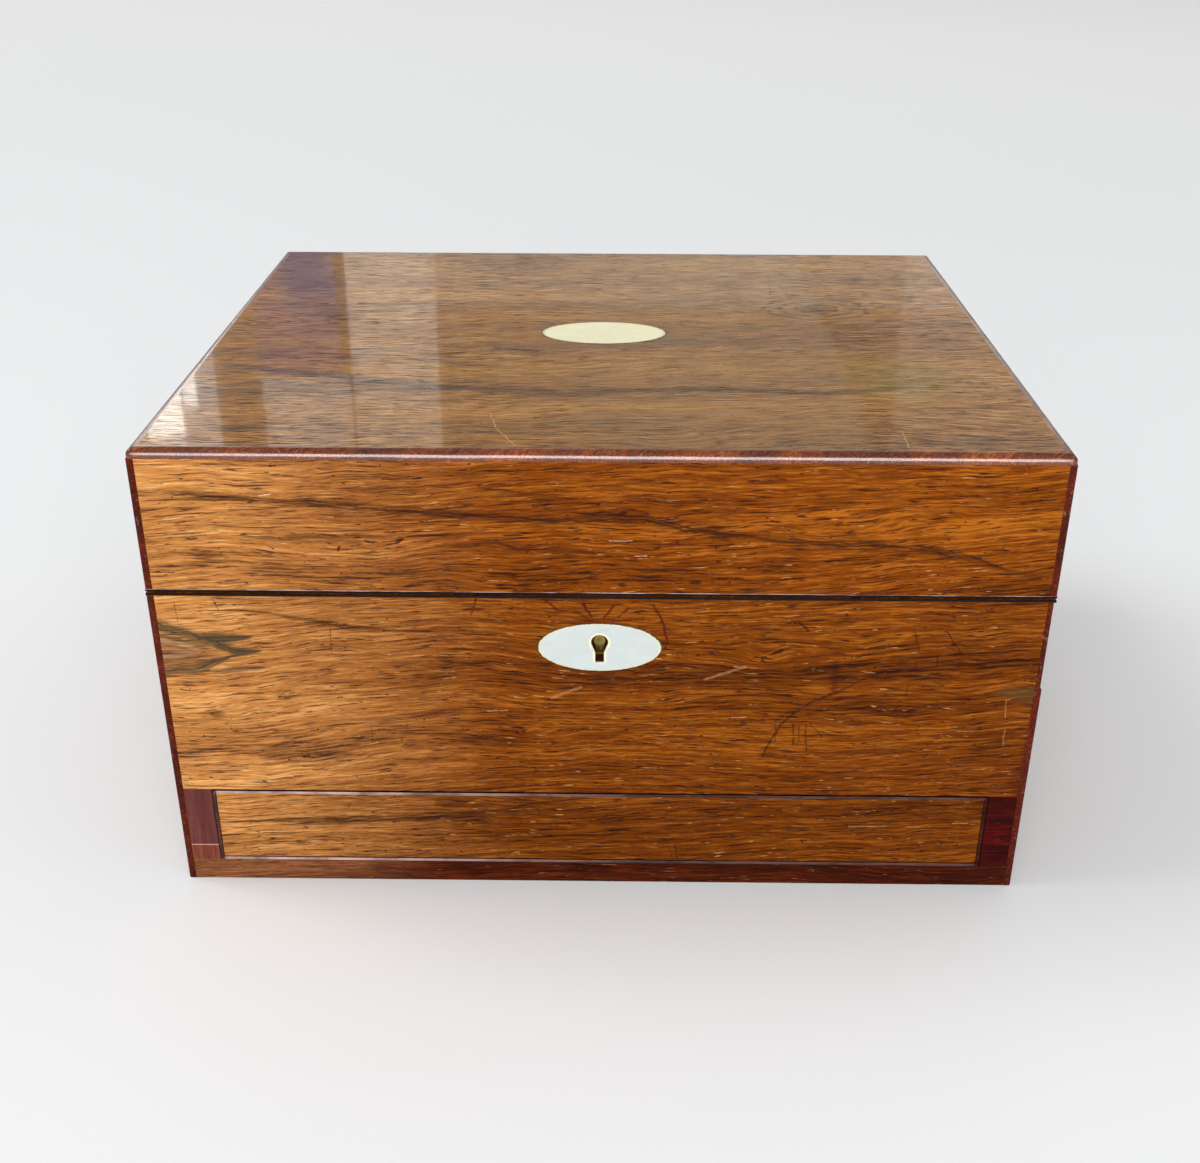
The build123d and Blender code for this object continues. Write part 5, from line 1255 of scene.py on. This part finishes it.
class VANITY_BOX_OT_stage(bpy.types.Operator):
    """Makes the pale floor, the soft lights and the camera"""

    bl_idname = "vanity_box.stage"
    bl_label = "Floor, Lights and Camera"

    def execute(self, context):
        stage = context.scene.vanity_box_stage
        shape = bmesh.new()
        bmesh.ops.create_grid(shape, x_segments=8, y_segments=8, size=14.0)
        mesh = bpy.data.meshes.new("floor")
        shape.to_mesh(mesh)
        shape.free()
        floor = bpy.data.objects.new("floor", mesh)
        context.scene.collection.objects.link(floor)
        paper, steps, shader = new_material("pale_floor")
        x, y, _ = steps.split(steps.spot())
        # The floor is painted brighter further back and to the right, where the key light falls off.
        far = steps.between(steps.times_plus(x, 0.5, y), 0.3, 3.2)
        shade = steps.mix(far, shaded(stage.floor_colour), shaded(stage.floor_colour, 1.16))
        steps.feed(shader.inputs["Base Color"], shade)
        shader.inputs["Roughness"].default_value = 0.9
        shader.inputs["Specular IOR Level"].default_value = 0.1
        mesh.materials.append(paper)

        key_size = (stage.key_size, stage.key_size)
        self.area_light(context, "key_light", (-4.2, 0.5, 4.6), (0, 0, 0.05), key_size, stage.key_power)
        aim = (0, -0.12, 0.15)
        front = self.area_light(context, "front_light", (0, -2.6, 1.1), aim, (2.6, 1.7), stage.front_power)
        front.visible_glossy = False
        for name, left, right, low, high, away, brightness, colour in BACK_CARDS:
            place = ((left + right) / 2 * MM, away, (low + high) / 2 * MM)
            size = ((right - left) * MM, (high - low) * MM)
            self.card(context, name, place, (place[0], 0, place[2]), size, brightness, colour)
        self.card(context, "card_front", (0, -2.5, 1.1), aim, (2.6, 1.5), stage.front_card, (1, 0.96, 0.96))

        world = bpy.data.worlds.new("pale_room")
        world.use_nodes = True
        background = world.node_tree.nodes["Background"]
        background.inputs["Color"].default_value = (1, 1, 1, 1)
        steps = Steps(world.node_tree)
        polish = steps.add("ShaderNodeLightPath").outputs["Is Glossy Ray"]
        strength = steps.between(polish, 0, 1, stage.sky, stage.sky * 0.4, smooth=False)
        steps.feed(background.inputs["Strength"], strength)
        context.scene.world = world

        camera = bpy.data.objects.new("camera", bpy.data.cameras.new("camera"))
        camera.location = CAMERA_PLACE
        camera.rotation_euler = [math.radians(angle) for angle in CAMERA_ANGLES]
        camera.data.lens = stage.lens
        camera.data.sensor_width = 36.0
        context.scene.collection.objects.link(camera)
        context.scene.camera = camera
        context.scene.view_settings.view_transform = "Standard"
        return {"FINISHED"}

    def card(self, context, name, place, aim, size, brightness, colour):
        """A card that only glossy surfaces show."""
        light = self.area_light(context, name, place, aim, size, brightness * math.pi * size[0] * size[1])
        light.data.color = colour
        light.visible_diffuse = False

    def area_light(self, context, name, place, aim, size, power):
        """One soft light, of a width and height, that is aimed at a place."""
        lamp = bpy.data.lights.new(name, "AREA")
        lamp.shape = "RECTANGLE"
        lamp.size, lamp.size_y = size
        lamp.energy = power
        light = bpy.data.objects.new(name, lamp)
        light.location = place
        light.rotation_euler = (Vector(place) - Vector(aim)).to_track_quat("Z", "Y").to_euler()
        light.visible_camera = False
        context.scene.collection.objects.link(light)
        return light


class VANITY_BOX_OT_veneers(bpy.types.Operator):
    """Finishes the veneers and facings on the outside"""

    bl_idname = "vanity_box.veneers"
    bl_label = "Veneers and Facings"

    def execute(self, context):
        dressed("lid_front_veneer", "rosewood_lid_front", 0.12)
        dressed("front_veneer", base_front_materials(), 0.12, shaped=cut_in_stretches)
        dressed("lid_top_veneer", "rosewood_lid_top", 0)
        dressed("bottom_rail_veneer", "rosewood_bottom_rail", 0.2)
        dressed("base_side_veneers", "rosewood_sides", 0.12)
        dressed("lid_side_veneers", "rosewood_sides", 0.12)
        dressed("base_rim_veneer", "base_rim", 0.12)
        dressed("lid_rim_veneer", "lid_rim", 0.2)
        dressed("left_stile_facing", "left_facing", 0.12)
        dressed("right_stile_facing", "right_facing", 0.12)
        return {"FINISHED"}


class VANITY_BOX_OT_edging(bpy.types.Operator):
    """Finishes the corner edging and the lid's moulding"""

    bl_idname = "vanity_box.edging"
    bl_label = "Edging and Moulding"

    def execute(self, context):
        dressed("base_corner_edging", "corner_edging", 0.2, shaped=step_back_upper_edging)
        dressed("lid_corner_edging", "corner_edging", 0.2)
        piece = as_object(moulding_shape(), "lid_moulding_finished", "lid")
        piece.data.materials.append(material("lid_moulding"))
        stand_in(piece, "lid_moulding")
        return {"FINISHED"}


class VANITY_BOX_OT_pearl(bpy.types.Operator):
    """Finishes the pearl escutcheon and the pearl oval on the lid"""

    bl_idname = "vanity_box.pearl"
    bl_label = "Pearl Inlays"

    def execute(self, context):
        dressed("escutcheon", "pearl_escutcheon", 0.35)
        dressed("lid_cartouche", "pearl_cartouche", 0.3)
        return {"FINISHED"}


class VANITY_BOX_OT_carcass(bpy.types.Operator):
    """Finishes the mahogany boards under the veneer"""

    bl_idname = "vanity_box.carcass"
    bl_label = "Mahogany Boards"

    def execute(self, context):
        dressed("front_board", "mahogany_keyhole", 0)
        for node in ("back_board", "lid_front_rail", "lid_back_rail"):
            dressed(node, "mahogany_x", 0)
        for node in ("side_boards", "lid_side_rails"):
            dressed(node, "mahogany_y", 0)
        for node in ("bottom_board", "dust_board", "lid_top_board"):
            dressed(node, "mahogany_flat", 0)
        return {"FINISHED"}


class VANITY_BOX_OT_drawer(bpy.types.Operator):
    """Finishes the drawer"""

    bl_idname = "vanity_box.drawer"
    bl_label = "Drawer"

    def execute(self, context):
        dressed("drawer_front_veneer", "rosewood_drawer_front", 0.1)
        dressed("drawer_bead", "drawer_bead", 0.12)
        dressed("drawer_front", "mahogany_x", 0.1)
        dressed("drawer_back", "mahogany_x", 0.1)
        dressed("drawer_sides", "mahogany_y", 0.1)
        dressed("drawer_bottom", "mahogany_flat", 0.1)
        dressed("drawer_dividers", "mahogany_x", 0.3)
        return {"FINISHED"}


class VANITY_BOX_OT_tray(bpy.types.Operator):
    """Finishes the lift-out tray"""

    bl_idname = "vanity_box.tray"
    bl_label = "Tray"

    def execute(self, context):
        dressed("tray_walls", "mahogany_x", 0.25)
        dressed("tray_partitions", "mahogany_y", 0.4)
        dressed("tray_bottom", "mahogany_flat", 0.2)
        dressed("tray_pulls", "old_brass", 0.2)
        return {"FINISHED"}


class VANITY_BOX_OT_linings(bpy.types.Operator):
    """Makes the velvet linings of the base, the lid, the tray and the drawer"""

    bl_idname = "vanity_box.linings"
    bl_label = "Velvet Linings"

    def execute(self, context):
        for node in ("floor_lining", "tray_bearers", "lid_lining", "drawer_lining", "tray_lining"):
            soft_lining(node)
        return {"FINISHED"}


class VANITY_BOX_OT_cushion(bpy.types.Operator):
    """Makes the pin cushion"""

    bl_idname = "vanity_box.cushion"
    bl_label = "Pin Cushion"

    def execute(self, context):
        piece = self.stuffed(context)
        piece.data.materials.append(material("wine_velvet"))
        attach(piece, "tray")
        stand_in(piece, "pin_cushion")
        return {"FINISHED"}

    def stuffed(self, context):
        """The cushion: its cover blown up as cloth, held to its well and pressed in along its seam."""
        low, high = node_box("pin_cushion")
        first = low + Vector((CUSHION_INSET, CUSHION_INSET, 0.0)) * MM
        last = high - Vector((CUSHION_INSET, CUSHION_INSET, CUSHION_DROP)) * MM
        shape = bmesh.new()
        bmesh.ops.create_cube(shape, size=1.0)
        middle, size = (first + last) / 2, last - first
        for vert in shape.verts:
            vert.co = Vector([middle[axis] + vert.co[axis] * size[axis] for axis in range(3)])
        bmesh.ops.bevel(shape, geom=shape.edges[:], offset=CUSHION_CORNER * MM, segments=3, profile=0.5,
                        affect="EDGES")
        mesh = bpy.data.meshes.new("pin_cushion_cover")
        shape.to_mesh(mesh)
        shape.free()
        piece = bpy.data.objects.new("pin_cushion_cover", mesh)
        context.scene.collection.objects.link(piece)
        remesh = piece.modifiers.new("even mesh", "REMESH")
        remesh.mode = "VOXEL"
        remesh.voxel_size = CUSHION_CELL * MM
        self.apply(context, piece)
        before = [vert.co.copy() for vert in piece.data.vertices]
        cloth = piece.modifiers.new("stuffing", "CLOTH")
        cloth.settings.use_pressure = True
        cloth.settings.uniform_pressure_force = 4.0
        cloth.settings.effector_weights.gravity = 0.0
        cloth.settings.mass = 0.2
        cloth.point_cache.frame_end = STUFFING_FRAMES
        for number in range(1, STUFFING_FRAMES + 1):
            context.scene.frame_set(number)
        self.apply(context, piece)
        context.scene.frame_set(1)
        middle = (low + high) / 2
        half = (high - low) / 2
        for vert, start in zip(piece.data.vertices, before):
            move = vert.co - start
            spot = start + move.normalized() * min(move.length, CUSHION_PUSH * MM)
            across, deep = (spot.x - middle.x) / half.x, (spot.y - middle.y) / half.y
            crown = (1 - min(1, abs(across)) ** 2.6) * (1 - min(1, abs(deep)) ** 2.6)
            share = (spot.z - low.z) / (last.z - low.z)
            spot.z = low.z + share * (CUSHION_SEAM * MM + crown * CUSHION_CROWN * MM)
            spot.z += noise.noise(start * 55) * 0.5 * MM * share
            for axis in range(3):
                spot[axis] = min(max(spot[axis], low[axis] + 0.15 * MM), high[axis] - 0.1 * MM)
            vert.co = spot
        smooth = piece.modifiers.new("soft cover", "SUBSURF")
        smooth.levels = smooth.render_levels = 1
        self.apply(context, piece)
        piece.data.shade_smooth()
        piece.name = "pin_cushion_finished"
        return piece

    def apply(self, context, piece):
        """Turns what the modifiers give into the piece's own mesh."""
        ready = piece.evaluated_get(context.evaluated_depsgraph_get())
        mesh = bpy.data.meshes.new_from_object(ready)
        piece.modifiers.clear()
        piece.data = mesh


class VANITY_BOX_OT_mirror(bpy.types.Operator):
    """Finishes the mirror in the lid"""

    bl_idname = "vanity_box.mirror"
    bl_label = "Mirror"

    def execute(self, context):
        dressed("mirror_frame", "mahogany_x", 0.35)
        dressed("mirror_glass", "mirror_silver", 0)
        dressed("mirror_back", "backing_board", 0.1)
        dressed("mirror_keepers", "mahogany_x", 0.4)
        dressed("mirror_button", "old_brass", 0.25)
        return {"FINISHED"}


class VANITY_BOX_OT_metalwork(bpy.types.Operator):
    """Finishes the lock, the hinges, the pins and the spring"""

    bl_idname = "vanity_box.metalwork"
    bl_label = "Lock, Hinges and Pins"

    def execute(self, context):
        for node in ("lock_case", "lock_cap", "link_plate", "lock_bolt", "base_hinge_leaves",
                     "lid_hinge_leaves", "pin_guide", "drawer_pin_bush", "release_pin"):
            dressed(node, "old_brass", 0.1)
        dressed("lock_drill_pin", "dull_brass", 0.1)
        for node in ("hinge_pins", "drawer_spring"):
            dressed(node, "blued_steel", 0.08)
        return {"FINISHED"}


class VANITY_BOX_OT_screws(bpy.types.Operator):
    """Makes the slotted screws of the hinges, the lock and the spring"""

    bl_idname = "vanity_box.screws"
    bl_label = "Screws"

    def execute(self, context):
        for seed, node in enumerate(("case_screws", "lid_screws")):
            screws(node, seed)
        return {"FINISHED"}


class VANITY_BOX_PT_panel(bpy.types.Panel):
    """The sidebar panel with the colours, the lights and a button for each step"""

    bl_idname = "VANITY_BOX_PT_panel"
    bl_label = "Vanity Box"
    bl_space_type = "VIEW_3D"
    bl_region_type = "UI"
    bl_category = "Vanity Box"

    def draw(self, context):
        for group in (context.scene.vanity_box_finish, context.scene.vanity_box_stage):
            for name in group.bl_rna.properties.keys():
                if name not in ("rna_type", "name"):
                    self.layout.prop(group, name)
        for operator in OPERATORS:
            self.layout.operator(operator.bl_idname)


OPERATORS = (
    VANITY_BOX_OT_stage, VANITY_BOX_OT_veneers, VANITY_BOX_OT_edging, VANITY_BOX_OT_pearl,
    VANITY_BOX_OT_carcass, VANITY_BOX_OT_drawer, VANITY_BOX_OT_tray, VANITY_BOX_OT_linings,
    VANITY_BOX_OT_cushion, VANITY_BOX_OT_mirror, VANITY_BOX_OT_metalwork, VANITY_BOX_OT_screws)
CLASSES = (VanityBoxFinish, VanityBoxStage, *OPERATORS, VANITY_BOX_PT_panel)


def register():
    """Makes the classes and the settings known to Blender."""
    for entry in CLASSES:
        bpy.utils.register_class(entry)
    bpy.types.Scene.vanity_box_finish = bpy.props.PointerProperty(type=VanityBoxFinish)
    bpy.types.Scene.vanity_box_stage = bpy.props.PointerProperty(type=VanityBoxStage)


def unregister():
    """Takes them away again."""
    del bpy.types.Scene.vanity_box_stage
    del bpy.types.Scene.vanity_box_finish
    for entry in reversed(CLASSES):
        bpy.utils.unregister_class(entry)


def main():
    """Registers the add-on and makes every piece."""
    register()
    for operator in OPERATORS:
        family, name = operator.bl_idname.split(".")
        getattr(getattr(bpy.ops, family), name)()


if __name__ == "__main__":
    main()
